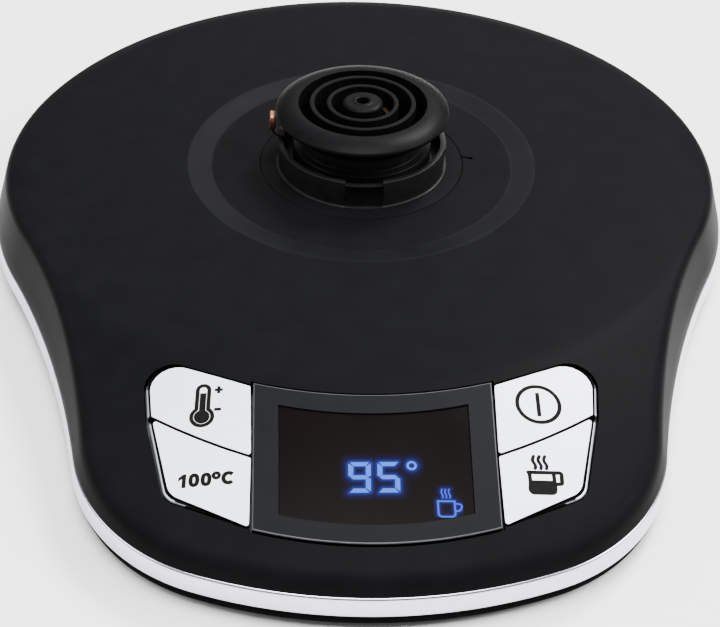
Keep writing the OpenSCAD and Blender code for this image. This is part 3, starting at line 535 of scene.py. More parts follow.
def key_outline(plan, radii, side, d, reach=0.0):
    """A key's outline, grown by d all round, with its outer side and its front corner out by reach."""
    plan = [(x + reach * (x > OUTER_X), y - reach * (x > OUTER_X and y < FRONT_Y)) for x, y in plan]
    if side < 0:
        plan, radii = [(-x, y) for x, y in plan[::-1]], radii[::-1]
    return rounded(grown([flat(p) for p in plan], d), [max(0.2, r + d) for r in radii])


FACET = 14  # the same angle for the panel's pieces: less than a step of their rounded rims
CUT = (-9, 6)  # from where to where, square to the panel, a cutter reaches


def slab(name, outline, bottom, top, bevel, mats, cell=3.0, steps=3, edge=False, wall=False):
    """A piece of the panel: straight sides, a rounded upper edge, and a top that follows the cover.

    The second finish goes on the rounded edge or on the side wall, where edge or wall asks for it.
    """
    rings = [[(*p, bottom) for p in outline], [(*p, top - bevel) for p in outline]]
    for k in range(1, steps + 1):
        a = pi / 2 * k / steps
        rings.append([(*p, top - bevel + bevel * sin(a)) for p in grown(outline, -bevel * (1 - cos(a)))])
    verts, faces = loops(rings)
    n = len(outline)
    bm = bmesh.new()
    bv = [bm.verts.new(v) for v in verts]
    for i, f in enumerate(faces):
        face = bm.faces.new([bv[j] for j in f])
        face.material_index = 1 if (edge and i >= n) or (wall and i < n) else 0
    caps = [bm.faces.new(bv[:n][::-1]), bm.faces.new(bv[-n:])]
    bmesh.ops.triangulate(bm, faces=caps)
    lo = [min(p[k] for p in outline) for k in (0, 1)]
    hi = [max(p[k] for p in outline) for k in (0, 1)]
    for k in (0, 1):
        count = max(1, int((hi[k] - lo[k]) / cell))
        for i in range(1, count):
            at = lo[k] + (hi[k] - lo[k]) * i / count
            bmesh.ops.bisect_plane(bm, geom=bm.verts[:] + bm.edges[:] + bm.faces[:], dist=1e-5,
                                   plane_co=(at, 0, 0) if k == 0 else (0, at, 0),
                                   plane_no=(1, 0, 0) if k == 0 else (0, 1, 0))
    for v in bm.verts:
        v.co = lift(v.co)
    return piece(name, bm, mats, FACET)


def prism(name, outline, low, high):
    """A cutter square to the panel."""
    verts = [(*p, low) for p in outline] + [(*p, high) for p in outline]
    return build(name, verts, capped(len(outline)), ["deep"], place=on_panel)


# ---------- cover
LEAN = tan(radians(DRAFT))
# The wall's lower lip, the radius and the least inset of the top's outermost rings, the cover's thickness
LIP, CROWN_R, RIM_IN, SKIN = 0.3, 83.4, 0.9, 2.1
# The hole for the connector and its ledge, the dish floor's thickness and how far out its underside goes
SOCKET_R, SOCKET_DROP, DISH_THICK, UNDER_R = 22.7, 1.25, 2.5, 43.4


def on_wall(p, n, h):
    """The point of the cover's outer wall at height h over its lower edge."""
    return (*(p - n * h * LEAN), Z_COVER + h)


def crest_inset(p, n):
    """How far inside the footprint the wall, carried straight on, meets the cover's top."""
    t = 3.0
    for _ in range(12):
        t = (skin_z((p - n * t).length) - Z_COVER) * LEAN
    return t


def cover_column(p, n):
    """One line of points over the cover: up the wall, over the edge, in to the flange, back underneath."""
    t = crest_inset(p, n)
    crest, zc = p - n * t, Z_COVER + t / LEAN
    soft = 1.5 + 1.4 * smooth(55, 105, -p.y)
    down = min(soft, 0.72 * (zc - Z_COVER))
    high = zc - Z_COVER - down * cos(radians(DRAFT))
    col = [(*(p - n * 0.45), Z_COVER), (*(p - n * 0.12), Z_COVER + 0.05), on_wall(p, n, LIP)]
    col += [on_wall(p, n, LIP + (high - LIP) * k / 4) for k in range(1, 4)]
    q = p - n * (t + soft)
    start, end = Vector(on_wall(p, n, high)), Vector((q.x, q.y, skin_z(q.length)))
    col += [tuple(c) for c in curve(start, Vector((*crest, zc)), end, 8)]
    rb, way = q.length, q.normalized()
    rt = min(CROWN_R, rb - RIM_IN)
    radii = [rb + (rt - rb) * k / 9 for k in range(1, 10)]
    radii += [rt + (TOP_FLAT - rt) * k / 6 for k in range(1, 7)] + [74, 68, 60, 52, 46]
    col += [(*(way * r), skin_z(r)) for r in radii]
    col += [(*(way * (DISH_R + d)), dish_z(DISH_R + d)) for d in DISH_STEPS]
    col += [(*(way * r), Z_DISH) for r in (34, 29, 25, FLANGE_R + 0.22)]
    col += [(*(way * r), Z_DISH - d) for r, d in (
        (FLANGE_R + 0.16, 0.03), (FLANGE_R + 0.15, 0.2), (FLANGE_R + 0.08, SOCKET_DROP),
        (SOCKET_R, SOCKET_DROP), (SOCKET_R, DISH_THICK), (UNDER_R, DISH_THICK))]
    q = p - n * (t + 3.2)
    for k in (0.0, 0.5, 1.0):
        w = way * (UNDER_R + 0.2) * (1 - k) + q * k
        col.append((*w, skin_z(w.length) - SKIN))
    return col + [(*(p - n * 2.5), Z_COVER + 0.6), (*(p - n * 2.2), Z_COVER)]


def cover_rings():
    """The columns, as rings round the cover."""
    columns = [cover_column(p, n) for p, n in EDGE]
    return [[c[k] for c in columns] for k in range(len(columns[0]))]


def finish_between(obj, r0, r1, above):
    """Gives the faces between two radii about the connector, over a height, the piece's other finish."""
    for f in obj.data.polygons:
        c = f.center * 1000
        if r0 < hypot(c.x, c.y - SEAT) < r1 and c.z > above:
            f.material_index = 1


def inlet_cutter():
    """A rod along the cord's way in, for the hole through the back."""
    n = 40
    verts = [(x, y, INLET_Z + z) for y in (70, 100) for x, z in circle(BUSH_R, n)]
    return build("cut_inlet", verts, capped(n), ["deep"])


def rods(name, places, radius, low, high, n=32):
    """Upright rods on the places, as one mesh."""
    verts, faces = [], []
    for x, y in places:
        faces += capped(n, len(verts))
        verts += [(x + a, y + b, z) for z in (low, high) for a, b in circle(radius, n)]
    return build(name, verts, faces, ["deep"])


cover = build("cover_shell", *loops(cover_rings(), closed=True), ["cover", "ramp"], sharp=38)
# the dish's ramp takes the lighter copy of the black, painted light on the slope
finish_between(cover, DISH_R - DISH_RAMP - 0.2, DISH_R + 0.2, Z_DISH - 0.5)
subtract(cover, prism("cut_right", key_outline(OPENING, OPENING_ROUND, 1, OPEN_GAP, RIM), *CUT),
         prism("cut_left", key_outline(OPENING, OPENING_ROUND, -1, OPEN_GAP, RIM), *CUT),
         prism("cut_frame", grown(FRAME, KEY_GAP), *CUT), inlet_cutter())
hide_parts("top_cover")
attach(cover, "base")


# ---------- band and tray
band_profile = rounded_profile([
    (-1.5, Z_BAND + 0.02), (0.85, Z_BAND + 0.02, 0.35), (0.62, Z_BAND + 2.0, 1.2),
    (0.14, Z_COVER - 0.04, 0.5), (-1.5, Z_COVER - 0.04)], steps=4)
band_rings = [[(*(p + n * d), z) for p, n in EDGE] for d, z in band_profile]
band = build("bright_band", *loops(band_rings, closed=True), ["band"])
subtract(band, inlet_cutter())
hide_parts("trim_band")
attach(band, "base")

TRAY_IN, TRAY_FLOOR, TRAY_TOP = -14, 3.4, Z_BAND + 3.9


def at_edge(d, z):
    """The footprint moved outward by d, at height z."""
    return [(*(p + n * d), z) for p, n in EDGE]


def shrunk(scale, z):
    """The tray's inner outline, drawn in towards the connector's axis."""
    return [(x * scale, y * scale, z) for x, y, _ in at_edge(TRAY_IN, z)]


def tray_mesh():
    """The tray as one closed shell: its inner face, the rim, the outer profile, then the underside."""
    prof = [(-2.6, TRAY_TOP), (-1.62, TRAY_TOP), (-1.62, Z_BAND), (0.66, Z_BAND), (0.72, Z_BAND - 0.15),
            (0.6, Z_BAND - 1.2), (0.3, Z_BAND - 2.4), (-0.1, Z_TRAY + 0.25), (-0.6, Z_TRAY + 0.03),
            (-1.1, Z_TRAY), (-4.6, Z_TRAY), (-4.9, Z_TRAY + 0.1), (-5.0, Z_TRAY + 0.5), (-6.0, Z_TRAY + 0.5),
            (-6.1, Z_TRAY + 0.1), (-6.4, Z_TRAY), (TRAY_IN, Z_TRAY)]
    rings = [shrunk(s, TRAY_FLOOR) for s in (0.15, 0.6, 1.0)]
    rings += [at_edge(d, z) for d, z in [(-3.0, TRAY_FLOOR), (-3.0, TRAY_TOP)] + prof]
    rings += [shrunk(s, Z_TRAY) for s in (0.75, 0.45, 0.15)]
    verts, faces = loops(rings)
    n = len(EDGE)
    return verts, faces + [tuple(range(n))[::-1], tuple(range(len(verts) - n, len(verts)))]


tray = build("tray_shell", *tray_mesh(), ["tray"])
SCREWS = [(s * x, y) for x, y in ((30, 70), (75, 8), (50, -66)) for s in (1, -1)]
FEET = [(s * x, y) for x, y in ((55, 50), (36, -90)) for s in (1, -1)]
join(tray, rods("bosses", SCREWS, 4.2, 2.4, 8.2))
subtract(tray, rods("wells", SCREWS, 3.0, 0, 4.4), rods("foot_wells", FEET, 6.15, 0, 2.0, 48),
         inlet_cutter())
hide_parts("base_tray")
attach(tray, "base")

# ---------- connector
Z_CAP, Z_COLLAR, Z_NECK = 35.4, 26.0, 29
WELL = Z_CAP - 5


def block(name, low, high, turn):
    """A box about the connector's axis, turned by an angle in degrees, for cutting notches."""
    c, s = cos(radians(turn)), sin(radians(turn))
    verts = [(x * c - y * s, x * s + y * c, z) for x, y, z in box_points(low, high)]
    return build(name, verts, BOX, ["deep"])


head_profile = rounded_profile([
    (1.45, Z_CAP + 0.35, 0.2), (2.0, Z_CAP + 0.5, 0.2), (2.6, Z_CAP + 0.3, 0.3), (4.1, Z_CAP + 0.2, 0.4),
    (4.75, Z_CAP - 0.2, 0.3), (4.75, WELL), (7.3, WELL), (7.3, Z_CAP - 0.1, 0.35), (8.5, Z_CAP - 0.1, 0.35),
    (8.5, WELL), (11.3, WELL), (11.3, Z_CAP, 0.35), (12.5, Z_CAP, 0.35), (12.5, WELL), (15.0, WELL),
    (15.0, Z_CAP, 0.3), (16.6, Z_CAP - 0.12, 1), (18.6, Z_CAP - 0.65, 1), (20.3, Z_CAP - 1.55, 0.5),
    (20.4, Z_CAP - 2.2, 0.3), (19.9, Z_CAP - 2.8, 0.3), (15.9, Z_CAP - 3.2, 0.4), (15.9, Z_NECK, 0.3),
    (11.0, Z_NECK), (11.0, 20.1), (1.45, 20.1)])
head = build("connector_cap", *lathe(head_profile, 160), ["connector"], sharp=30)
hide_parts("connector_head")
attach(head, "base")
# a thin near-black ring at the bottom of each groove, painted shade for the depth of the contact wells
well_floor = [(4.7, WELL + 0.1), (15.05, WELL + 0.1), (15.05, WELL + 0.05), (4.7, WELL + 0.05)]
wells = build("groove_floors", *lathe(well_floor, 96), ["deep"])
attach(wells, "base")

body_profile = rounded_profile([
    (FLANGE_R, Z_DISH, 0.06), (FLANGE_R, Z_DISH - 1.2), (22.5, Z_DISH - 1.2), (22.5, 16.9), (11.05, 16.9),
    (11.05, Z_NECK), (14.5, Z_NECK, 0.2), (14.5, 25.3, 0.4), (16.5, 25.3, 0.3), (16.5, 21), (18.8, 21),
    (18.8, Z_COLLAR, 0.3), (20.2, Z_COLLAR, 0.4), (20.0, Z_DISH, 0.5)])
# the collar takes the lighter black, painted light on its sides
body = build("connector_collar", *lathe(body_profile, 160), ["collar", "cover"], sharp=30)
finish_between(body, 20.9, FLANGE_R + 1, Z_DISH - 0.3)
NOTCH = 4.3
cutters = []
for i, turn in enumerate((-90, -2)):
    cutters.append(block(f"recess_{i}", (19.55, -NOTCH, Z_DISH + 0.02), (22, NOTCH, Z_COLLAR - 1.15), turn))
    cutters.append(block(f"gap_{i}", (18.2, -NOTCH, Z_COLLAR - 0.85), (22, NOTCH, Z_COLLAR + 2), turn))
subtract(body, *cutters)
bevel_edges(body, 0.12, 2, 50, sharp=40)
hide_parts("connector_body")
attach(body, "base")


def strip(name, path, width, thick, mats):
    """A strip bent along a path of (x, z) points, as wide as width across Y, with its ends rounded off."""
    n = len(path)
    pts = [Vector(q) for q in path]
    rings = []
    for i, q in enumerate(pts):
        d = (pts[min(i + 1, n - 1)] - pts[max(i - 1, 0)]).normalized()
        side = Vector((-d.y, d.x)) * thick / 2
        w = width / 2 * (0.82 if i in (0, n - 1) else 1)
        lip = min(0.12, thick / 3)
        a, b = q + side, q - side
        rings.append([(a.x, -w + lip, a.y), (a.x, w - lip, a.y), (q.x, w, q.y), (b.x, w - lip, b.y),
                      (b.x, -w + lip, b.y), (q.x, -w, q.y)])
    verts, faces = loops(rings)
    faces += [tuple(range(6)), tuple(range(len(verts) - 6, len(verts)))[::-1]]
    return build(name, verts, faces, mats, sharp=35)


def bent(points, steps=6):
    """A smooth path through given points, by quadratic pieces between their middles."""
    pts = [Vector(q) for q in points]
    out = [pts[0]]
    for i in range(1, len(pts) - 1):
        out += curve((pts[i - 1] + pts[i]) / 2, pts[i], (pts[i] + pts[i + 1]) / 2, steps)
    return [tuple(q) for q in out + [pts[-1]]]


leaf_path = bent([(-18.2, 21.7), (-18.2, 25.0), (-18.6, 26.4), (-20.4, 27.2), (-21.2, 28.2), (-21.2, 30.0)])
# the leaf takes the darkened copper, painted shade under the cap
leaf = strip("earth_leaf", leaf_path, 3.0, 0.5, ["copper_painted_shade"])
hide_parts("earth_contact")
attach(leaf, "earth_leaf")
corners = [(-22.1, 28.5), (-20.5, 28.7), (-20.5, 31.9), (-21.75, 32.2)]
tab = build("earth_tab", [(x, y, z) for y in (-1.6, 1.6) for x, z in corners], capped(4), ["copper"])
bevel_edges(tab, 0.28, 3, 30)
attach(tab, "earth_leaf")


def floor_mark(name, outline):
    """A fine mark in the dish's floor, in the near-black of the painted shade."""
    verts = [(x, y, z) for z in (Z_DISH - 0.04, Z_DISH + 0.03) for x, y in outline]
    mark = build(name, verts, capped(len(outline)), ["deep"])
    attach(mark, "base")


# the flange's slit as a thin near-black sheet, painted shade in place of a cut; the dot beside it is in the
# same near-black
floor_mark("flange_slit", [(24.45, 1.3), (26.5, 0.65), (26.65, 1.15), (24.5, 1.85)])
floor_mark("flange_dot", [(26.7 + x, 0.9 + y) for x, y in circle(0.5, 16)])

# ---------- display
PROUD, GLASS = 0.35, 0.0  # heights of the frame's and the keys' faces, and of the window's, over the cover
# the frame's rounded edge takes the lighter grey, a painted highlight
frame_piece = slab("display_surround", grown(FRAME, -0.02), -5, PROUD, 0.24, ["frame", "frame_edge_painted_highlight"],
                   cell=1.1, edge=True)
crease(subtract(frame_piece, prism("cut_window", WINDOW, *CUT)), FACET)
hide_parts("display_frame")
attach(frame_piece, "base")
glass = slab("smoked_window", grown(WINDOW, -0.05), -2.2, GLASS, 0.05, ["glass"])
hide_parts("display_window")
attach(glass, "base")


def is_ring(shape):
    """Whether a shape is an outer and an inner outline, and not a single one."""
    return isinstance(shape[0][0], (tuple, list, Vector))


def inlay(name, shapes, mat, rider, low, high, replaces=None):
    """Thin marks set into the panel. A shape is one outline, or an outer and an inner one for a ring."""
    bm = bmesh.new()
    for shape in shapes:
        if is_ring(shape):
            outer, inner = shape
            n = len(outer)
            v = [[bm.verts.new((*q[:2], h)) for q in line] for line in (outer, inner) for h in (low, high)]
            for i in range(n):
                j = (i + 1) % n
                for a, b in ((0, 1), (1, 3), (3, 2), (2, 0)):
                    bm.faces.new((v[a][i], v[a][j], v[b][j], v[b][i]))
        else:
            n = len(shape)
            lo, hi = ([bm.verts.new((*q[:2], h)) for q in shape] for h in (low, high))
            caps = [bm.faces.new(lo[::-1]), bm.faces.new(hi)]
            for i in range(n):
                bm.faces.new((lo[i], lo[(i + 1) % n], hi[(i + 1) % n], hi[i]))
            bm.normal_update()
            bmesh.ops.triangulate(bm, faces=caps)
    for v in bm.verts:
        v.co = lift(v.co)
    obj = piece(name, bm, [mat])
    if replaces:
        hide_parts(replaces)
    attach(obj, rider)


def offset(points, d, closed):
    """A line moved sideways by d, open or closed on itself."""
    out, n = [], len(points)
    for i in range(n):
        p = Vector(points[i])
        a = Vector(points[i - 1]) if i or closed else None
        b = Vector(points[(i + 1) % n]) if i < n - 1 or closed else None
        ways = ((p - a) if a else None, (b - p) if b else None)
        sides = [Vector((v.y, -v.x)).normalized() for v in ways if v]
        o = sum(sides, Vector((0, 0))).normalized()
        out.append(tuple(p + o * d / max(0.5, o.dot(sides[0]))))
    return out


def stroke(points, width, closed=False, round_ends=True):
    """A line of the given width along points, as one outline, or as two where it closes on itself."""
    right, left = offset(points, width / 2, closed), offset(points, -width / 2, closed)
    if closed:
        return (right, left)
    ends = []
    for tip, back in ((points[-1], points[-2]), (points[0], points[1])):
        way = atan2(tip[1] - back[1], tip[0] - back[0])
        ends.append([(tip[0] + width / 2 * cos(way + a), tip[1] + width / 2 * sin(way + a))
                     for a in (-pi / 4, 0, pi / 4)] if round_ends else [])
    return right + ends[0] + left[::-1] + ends[1]


def bar(a, b, width):
    """A straight line with square ends."""
    return stroke([a, b], width, round_ends=False)


def placed(shapes, x, y):
    """Shapes drawn about their own origin, moved to x, y."""
    def moved(line):
        return [(px + x, py + y) for px, py in line]
    return [tuple(moved(line) for line in shape) if is_ring(shape) else moved(shape) for shape in shapes]


def ring(c, r, a=0.0, b=360.0, n=40):
    """Points round an arc from angle a to b, in degrees."""
    gaps = n if abs(b - a) >= 360 else n - 1
    angles = [radians(a + (b - a) * i / gaps) for i in range(n)]
    return [(c[0] + r * cos(v), c[1] + r * sin(v)) for v in angles]


def steam(x, low, high, sway, width):
    """A wavy line that rises from low to high."""
    points = [(x + sway * sin(2 * pi * k / 12 + 0.4), low + (high - low) * k / 12) for k in range(13)]
    return stroke(points, width)


# Seven-segment figures: width, height, the width of a segment upright and across, the gap between, the lean
FIGURE_W, FIGURE_H, BAR_UP, BAR_ACROSS, BAR_GAP, BAR_LEAN = 4.1, 6.3, 0.92, 0.86, 0.09, 0.02


def figure(on):
    """The segments named in on, about the figure's middle."""
    x, y, g = FIGURE_W / 2, FIGURE_H / 2, BAR_GAP
    top = [(-x + 0.2 + g, y), (x - 0.2 - g, y), (x - BAR_UP - g * 0.4, y - BAR_ACROSS),
           (-x + BAR_UP + g * 0.4, y - BAR_ACROSS)]
    upper = [(x, y - 0.2 - g * 0.2), (x, 0.32), (x - BAR_UP / 2, 0.1), (x - BAR_UP, BAR_ACROSS / 2 + g),
             (x - BAR_UP, y - BAR_ACROSS - g)]
    middle = [(-x + 0.42, 0), (-x + BAR_UP, BAR_ACROSS / 2), (x - BAR_UP, BAR_ACROSS / 2), (x - 0.42, 0),
              (x - BAR_UP, -BAR_ACROSS / 2), (-x + BAR_UP, -BAR_ACROSS / 2)]
    parts = {"a": (top, 1, 1), "b": (upper, 1, 1), "c": (upper, 1, -1), "d": (top, 1, -1),
             "f": (upper, -1, 1), "g": (middle, 1, 1)}
    out = []
    for key in on:
        shape, sx, sy = parts[key]
        out.append([(sx * px + BAR_LEAN * sy * py, sy * py) for px, py in shape])
    return out


def lit_cup():
    """A cup in outline with its handle and three lines of steam."""
    body = [(-1.6, 1.5), (-1.6, -0.9)] + ring((-0.95, -0.95), 0.65, 180, 270, 6)
    body += ring((0.75, -0.95), 0.65, 270, 360, 6) + [(1.4, 1.5)]
    handle = [(1.55, 1.0), (2.15, 0.95)] + ring((2.2, 0.45), 0.45, 60, -40, 6) + [(2.3, -0.35), (1.6, -0.5)]
    waves = [steam(x, 2.15, 3.95, 0.13, 0.22) for x in (-0.75, -0.1, 0.55)]
    return [stroke(body, 0.34, closed=True), stroke(handle, 0.3)] + waves


LIT = placed(figure("abcdfg"), -2.98, -3.8) + placed(figure("acdfg"), 2.3, -3.8)
LIT_RING = stroke(ring((6.55, -1.42), 0.74), 0.42, closed=True)
LIT_CUP = placed(lit_cup(), 12.5, -10.2)
LIT_LOW, LIT_HIGH, GLOW_HIGH = GLASS - 0.3, GLASS + 0.03, GLASS + 0.012
inlay("lit_figures", LIT + [LIT_RING], "lit", "base", LIT_LOW, LIT_HIGH, "lit_segments")
inlay("lit_cup", LIT_CUP, "lit_cup", "base", LIT_LOW, LIT_HIGH)


def edges_of(shapes):
    """The straight pieces of all the shapes' outlines."""
    for shape in shapes:
        for line in shape if is_ring(shape) else (shape,):
            yield from ((line[i - 1], line[i]) for i in range(len(line)))


def far(q, a, b):
    """Distance of point q from the line a to b."""
    dx, dy = b[0] - a[0], b[1] - a[1]
    t = max(0.0, min(1.0, ((q[0] - a[0]) * dx + (q[1] - a[1]) * dy) / (dx * dx + dy * dy + 1e-9)))
    return hypot(q[0] - a[0] - t * dx, q[1] - a[1] - t * dy)


# Each glow: its sheet's left, right, front and back, how far it reaches, the sheet's cell and the strength
GLOWS = (((-6.6, 9.0, -8.5, 1.4), LIT + [LIT_RING], 0.75, 0.22, 1.0),
         ((9.9, 15.7, -12.0, -5.2), LIT_CUP, 0.5, 0.2, 0.85))


def glow_sheet():
    """A film on the window round the lit figures, whose glow fades with the distance from them."""
    verts, faces, glow = [], [], []
    for (x0, x1, y0, y1), shapes, reach, cell, power in GLOWS:
        lines = list(edges_of(shapes))
        nx, ny, o = int((x1 - x0) / cell), int((y1 - y0) / cell), len(verts)
        for j in range(ny + 1):
            for i in range(nx + 1):
                q = (x0 + i * cell, y0 + j * cell)
                near = min(far(q, a, b) for a, b in lines)
                verts.append((*q, GLOW_HIGH))
                glow.append(power * exp(-(near / reach) ** 1.3) if min(i, j, nx - i, ny - j) else 0.0)
        starts = [o + j * (nx + 1) + i for j in range(ny) for i in range(nx)]
        faces += [(a, a + 1, a + nx + 2, a + nx + 1) for a in starts]
    obj = build("window_glow", verts, faces, ["glow"], place=lift)
    layer = obj.data.attributes.new("glow", "FLOAT", "POINT")
    layer.data.foreach_set("value", glow)
    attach(obj, "base")


glow_sheet()

# ---------- keys
KEYS = {
    "temperature": (UPPER, UPPER_ROUND, -1, "temperature_rocker"),
    "boil": (LOWER, LOWER_ROUND, -1, "boil_button"),
    "power": (UPPER, UPPER_ROUND, 1, "power_button"),
    "keep_warm": (LOWER, LOWER_ROUND, 1, "keep_warm_button"),
}
# Heights of a key's underside and its groove's floor, its edge's radius, where its silver corner ends
KEY_LOW, WELL_LOW, KEY_ROUND, SILVER_IN = -1.5, -0.9, 0.4, 35


def silver_side(obj, a, b):
    """Keeps the silver finish on the edge of a key's outer side, which runs from plan point a to b; the rest
    of the rim's edge is set to the near-black painted shade.
    """
    for f in obj.data.polygons:
        c = f.center * 1000
        x, y = abs(c.x), c.y - SEAT + SHIFT
        side = a[0] + (b[0] - a[0]) * (y - a[1]) / (b[1] - a[1]) + GROOVE
        corner = b[1] < FRONT_Y and y < b[1] + 3.5 and x > SILVER_IN
        if f.material_index == 1 and x < side and not corner:
            f.material_index = 0


for name, (plan, radii, side, rider) in KEYS.items():
    # the rim's walls and, after silver_side, most of its edge take the near-black painted shade
    rim = slab(name + "_key_rim", key_outline(plan, radii, side, 0, RIM), KEY_LOW, PROUD - 0.12, KEY_ROUND,
               ["key_painted_shade", "key"], cell=4, edge=True)
    pocket = slab("pocket", key_outline(plan, radii, side, GROOVE), WELL_LOW, 4, 0.05, ["deep"])
    crease(subtract(rim, pocket), FACET)
    silver_side(rim, *(plan[1:3] if plan is UPPER else plan[4:6]))
    # the plate's side walls take the near-black painted shade
    plate = slab(name + "_key_face", key_outline(plan, radii, side, -0.05), -1.0, PROUD + 0.02, 0.05,
                 ["plate", "key_painted_shade"], steps=2, wall=True)
    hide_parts(name + "_key")
    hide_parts(name + "_plate")
    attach(rim, rider)
    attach(plate, rider)

MARK_LOW, MARK_HIGH = PROUD - 0.2, PROUD + 0.035


def marks(name, shapes, rider):
    """Printed marks on a key's plate."""
    inlay(name, shapes, "ink", rider, MARK_LOW, MARK_HIGH)


def thermometer():
    """Bulb and tube in outline, with a filled core, and a plus and a minus beside them."""
    tube, bulb, top = 1.1, 1.98, 6.0
    a = 90 - degrees(atan2(tube, sqrt(bulb ** 2 - tube ** 2)))
    outline = ring((0, 0), bulb, a, -180 - a, 34) + ring((0, top), tube, 180, 0, 12)
    core_w, core_r, core_top = 0.62, 1.51, 5.35
    c = 90 - degrees(atan2(core_w, sqrt(core_r ** 2 - core_w ** 2)))
    core = ring((0, 0), core_r, c, -180 - c, 30) + [(-core_w, core_top), (core_w, core_top)]
    x, y, low, t = 2.9, 6.0, 1.55, 0.62
    plus = [bar((x - 0.78, y), (x + 0.78, y), t), bar((x, y - 0.84), (x, y - t / 2), t),
            bar((x, y + t / 2), (x, y + 0.84), t)]
    return [stroke(outline, 0.8, closed=True), core, *plus, bar((x - 0.68, low), (x + 0.68, low), 0.7)]


def squared(v):
    """A sine or cosine drawn out, for an oval with fuller corners."""
    return (1 if v > 0 else -1) * abs(v) ** 0.8


def boil_text():
    """The figures 100 with a degree ring and a C, on a line that rises a little to the right."""
    h, w, t, rise = 2.85, 2.0, 0.8, 0.045
    across, up = (w - t) / 2, (h - t) / 2
    shapes = [[(0.64, 0), (1.4, 0), (1.4, h), (0.82, h), (-0.05, h - 0.75), (-0.05, h - 1.5),
               (0.64, h - 1.02)]]
    for x in (2.82, 5.0):
        y = rise * x + h / 2
        oval = [(x + across * squared(a), y + up * squared(b)) for a, b in circle(1, 32)]
        shapes.append(stroke(oval[::-1], t, closed=True))
    degree = ring((6.82, rise * 7 + h - 0.78), 0.53, n=24)
    x, y = 9.05, rise * 9 + h / 2
    arc = [(x + 0.93 * cos(radians(v)), y + up * sin(radians(v))) for v in range(42, 319, 12)]
    return shapes + [stroke(degree[::-1], 0.68, closed=True), stroke(arc, t, round_ends=False)]


def cup_mark():
    """A cup with its filled part, rim, handle and three lines of steam."""
    rim, fill, wall, line = 2.3, 0.65, 0.76, 0.8
    left, right, low = -2.75, 2.4, -2.35
    filled = [(left, fill), (left - 0.25, -1.2)] + ring((left + 0.9, low + 1.15), 1.15, 180, 270, 7)
    filled += ring((right - 1.1, low + 1.05), 1.05, 270, 360, 7) + [(right, -1.2), (right, fill)]
    sides = [bar((left + 0.3, rim), (left + 0.32, fill - 0.05), wall),
             bar((right - 0.36, rim), (right - 0.36, fill - 0.05), wall)]
    handle = [(2.2, rim), (3.1, rim)] + ring((3.05, 1.85), 0.45, 60, 0, 4)
    handle += [(3.4, 0.5)] + ring((3.0, 0.35), 0.4, 0, -70, 5) + [(2.2, -0.1)]
    waves = [steam(x, 3.1, 5.75, 0.22, 0.66) for x in (-1.35, -0.3, 0.75)]
    return [stroke([(-2.65, rim), (2.5, rim)], line), filled, *sides, stroke(handle, line)] + waves


def power_mark():
    """A ring with an upright bar in it, which leans a little."""
    circle_line = stroke(ring((0, 0), 4.08, n=56)[::-1], 0.82, closed=True)
    return [circle_line, bar((0.02, 2.65), (-0.09, -2.75), 0.82)]


marks("thermometer_mark", placed(thermometer(), -32.25, 9.8), "temperature_rocker")
marks("boil_mark", placed(boil_text(), -35.65, -5.35), "boil_button")
marks("power_mark", placed(power_mark(), 31.42, 12.3), "power_button")
marks("keep_warm_mark", placed(cup_mark(), 30.45, -5.0), "keep_warm_button")


# ---------- what repeats, by Geometry Nodes
def scatter_tree(name):
    """Puts a part on every point, turned about Z, and gives the result its material."""
    tree = bpy.data.node_groups.new(name, "GeometryNodeTree")
    face = tree.interface
    sockets = {}
    inputs = {"Places": "Geometry", "Part": "Object", "Turn": "Float", "Finish": "Material"}
    for label, kind in inputs.items():
        sockets[label] = face.new_socket(label, in_out="INPUT", socket_type="NodeSocket" + kind).identifier
    face.new_socket("Pieces", in_out="OUTPUT", socket_type="NodeSocketGeometry")
    n, link = tree.nodes, tree.links.new
    source, target = n.new("NodeGroupInput"), n.new("NodeGroupOutput")
    kinds = ("ObjectInfo", "InstanceOnPoints", "RealizeInstances", "SetMaterial", "InputIndex")
    part, place, real, finish, number = (n.new("GeometryNode" + k) for k in kinds)
    turn, spin = n.new("ShaderNodeCombineXYZ"), n.new("ShaderNodeMath")
    spin.operation = "MULTIPLY"
    link(number.outputs[0], spin.inputs[0])
    link(source.outputs["Turn"], spin.inputs[1])
    link(spin.outputs[0], turn.inputs["Z"])
    link(source.outputs["Part"], part.inputs["Object"])
    link(source.outputs["Places"], place.inputs["Points"])
    link(part.outputs["Geometry"], place.inputs["Instance"])
    link(turn.outputs["Vector"], place.inputs["Rotation"])
    link(place.outputs["Instances"], real.inputs["Geometry"])
    link(real.outputs["Geometry"], finish.inputs["Geometry"])
    link(source.outputs["Finish"], finish.inputs["Material"])
    link(finish.outputs["Geometry"], target.inputs["Pieces"])
    return tree, sockets


def scatter(name, part, places, turn, mat, replaces, rider):
    """One piece made of part on each of the places, each turned by turn more than the one before."""
    tree, sockets = scatter_tree(name + "_layout")
    me = bpy.data.meshes.new(name)
    me.from_pydata([world(q) for q in places], [], [])
    obj = added(name, me)
    mod = obj.modifiers.new("layout", "NODES")
    mod.node_group = tree
    for label, value in (("Part", part), ("Turn", turn), ("Finish", M[mat])):
        mod[sockets[label]] = value
    settle(obj, sharp=35)
    bpy.data.objects.remove(part, do_unlink=True)
    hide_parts(replaces)
    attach(obj, rider)


def about_origin(v):
    """A point in millimetres of a part that is scattered later."""
    return Vector(v) / 1000


def turned(name, profile, n):
    """A turned part about its own axis."""
    return build(name, *lathe(profile, n), ["steel"], place=about_origin)


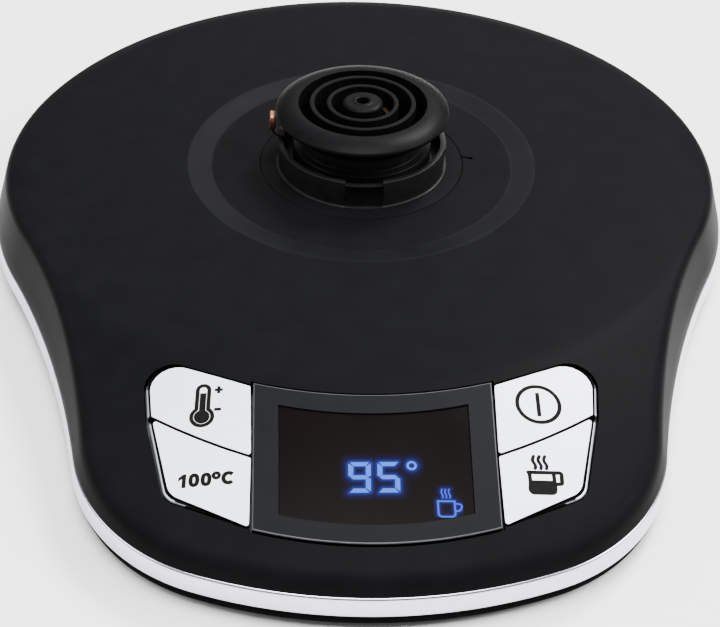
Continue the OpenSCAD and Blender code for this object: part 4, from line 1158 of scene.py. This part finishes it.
foot_profile = rounded_profile([
    (0.02, 0.25), (2.2, 0.25, 0.2), (2.5, 0, 0.15), (5.2, 0, 0.3), (6.0, 0.8, 0.3), (6.0, 2.0),
    (0.02, 2.0)])
foot = turned("foot", foot_profile, 48)
scatter("rubber_feet_set", foot, [(*q, 0) for q in FEET], 0.0, "rubber", "rubber_feet", "base")
screw_profile = rounded_profile([
    (0.02, 0), (1.6, 0.02, 0.4), (2.7, 0.6, 0.4), (2.7, 1.6), (1.35, 1.6), (1.35, 9.6, 0.5),
    (0.02, 10.4)], steps=4)


def screw_part():
    """A pan head seen from below, with its cross recess, and a plain shank above it."""
    screw, arms = turned("screw", screw_profile, 40), []
    for x, y in ((1.6, 0.3), (0.3, 1.6)):
        points = box_points((-x, -y, -1), (x, y, 0.75))
        arms.append(build("arm", points, BOX, ["steel"], place=about_origin))
    return subtract(screw, *arms)


scatter("housing_screw_set", screw_part(), [(*q, 2.8) for q in SCREWS], 0.9, "steel", "housing_screws",
        "base")

# ---------- cord bush at the back
bush_profile = rounded_profile([
    (3.4, 82.0), (5.4, 82.0, 0.2), (5.4, 85.0, 0.2), (BUSH_R, 85.0), (BUSH_R, 90.45), (5.4, 90.45, 0.1),
    (5.4, 91.0, 0.35), (4.7, 91.45, 0.3), (4.0, 91.45, 0.3), (3.4, 90.8, 0.3)])
bush_rings = [[(x, y, INLET_Z + z) for x, z in circle(r, 72)] for r, y in bush_profile]
bush = build("cord_bush", *loops(bush_rings, closed=True), ["rubber"])
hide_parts("inlet_bush")
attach(bush, "base")


# ---------- floor and light
def add_floor():
    """A plain pale floor."""
    me = bpy.data.meshes.new("floor")
    s = 3.0
    me.from_pydata([(-s, -s, 0), (s, -s, 0), (s, s, 0), (-s, s, 0)], [], [(0, 1, 2, 3)])
    me.materials.append(material("floor_white", (0.97, 0.97, 0.97), 0.8, vary=0.004, grain=3, spec=0.1))
    floor = added("floor", me)


def area(name, at, size, power):
    """A round lamp that points at the middle of the footprint."""
    data = bpy.data.lights.new(name, "AREA")
    data.shape, data.size, data.energy = "DISK", size, power
    lamp = added(name, data)
    lamp.location = at
    lamp.rotation_mode = "QUATERNION"
    lamp.rotation_quaternion = (-Vector(at)).to_track_quat("-Z", "Y")


add_floor()
sky = bpy.data.worlds.new("studio")
sky.use_nodes = True
bpy.context.scene.world = sky
sky.node_tree.nodes["Background"].inputs["Color"].default_value = (1, 1, 1, 1)
sky.node_tree.nodes["Background"].inputs["Strength"].default_value = 0.25
area("key_light", (1.0, -0.1, 0.9), 0.7, 20)
area("fill_light", (-1.0, -0.1, 0.9), 0.7, 7)
area("top_light", (0.0, -0.15, 1.35), 0.9, 36)
area("back_light", (0.1, 1.15, 1.0), 1.2, 7)
area("corner_light", (0.6, 0.8, 1.25), 0.4, 34)
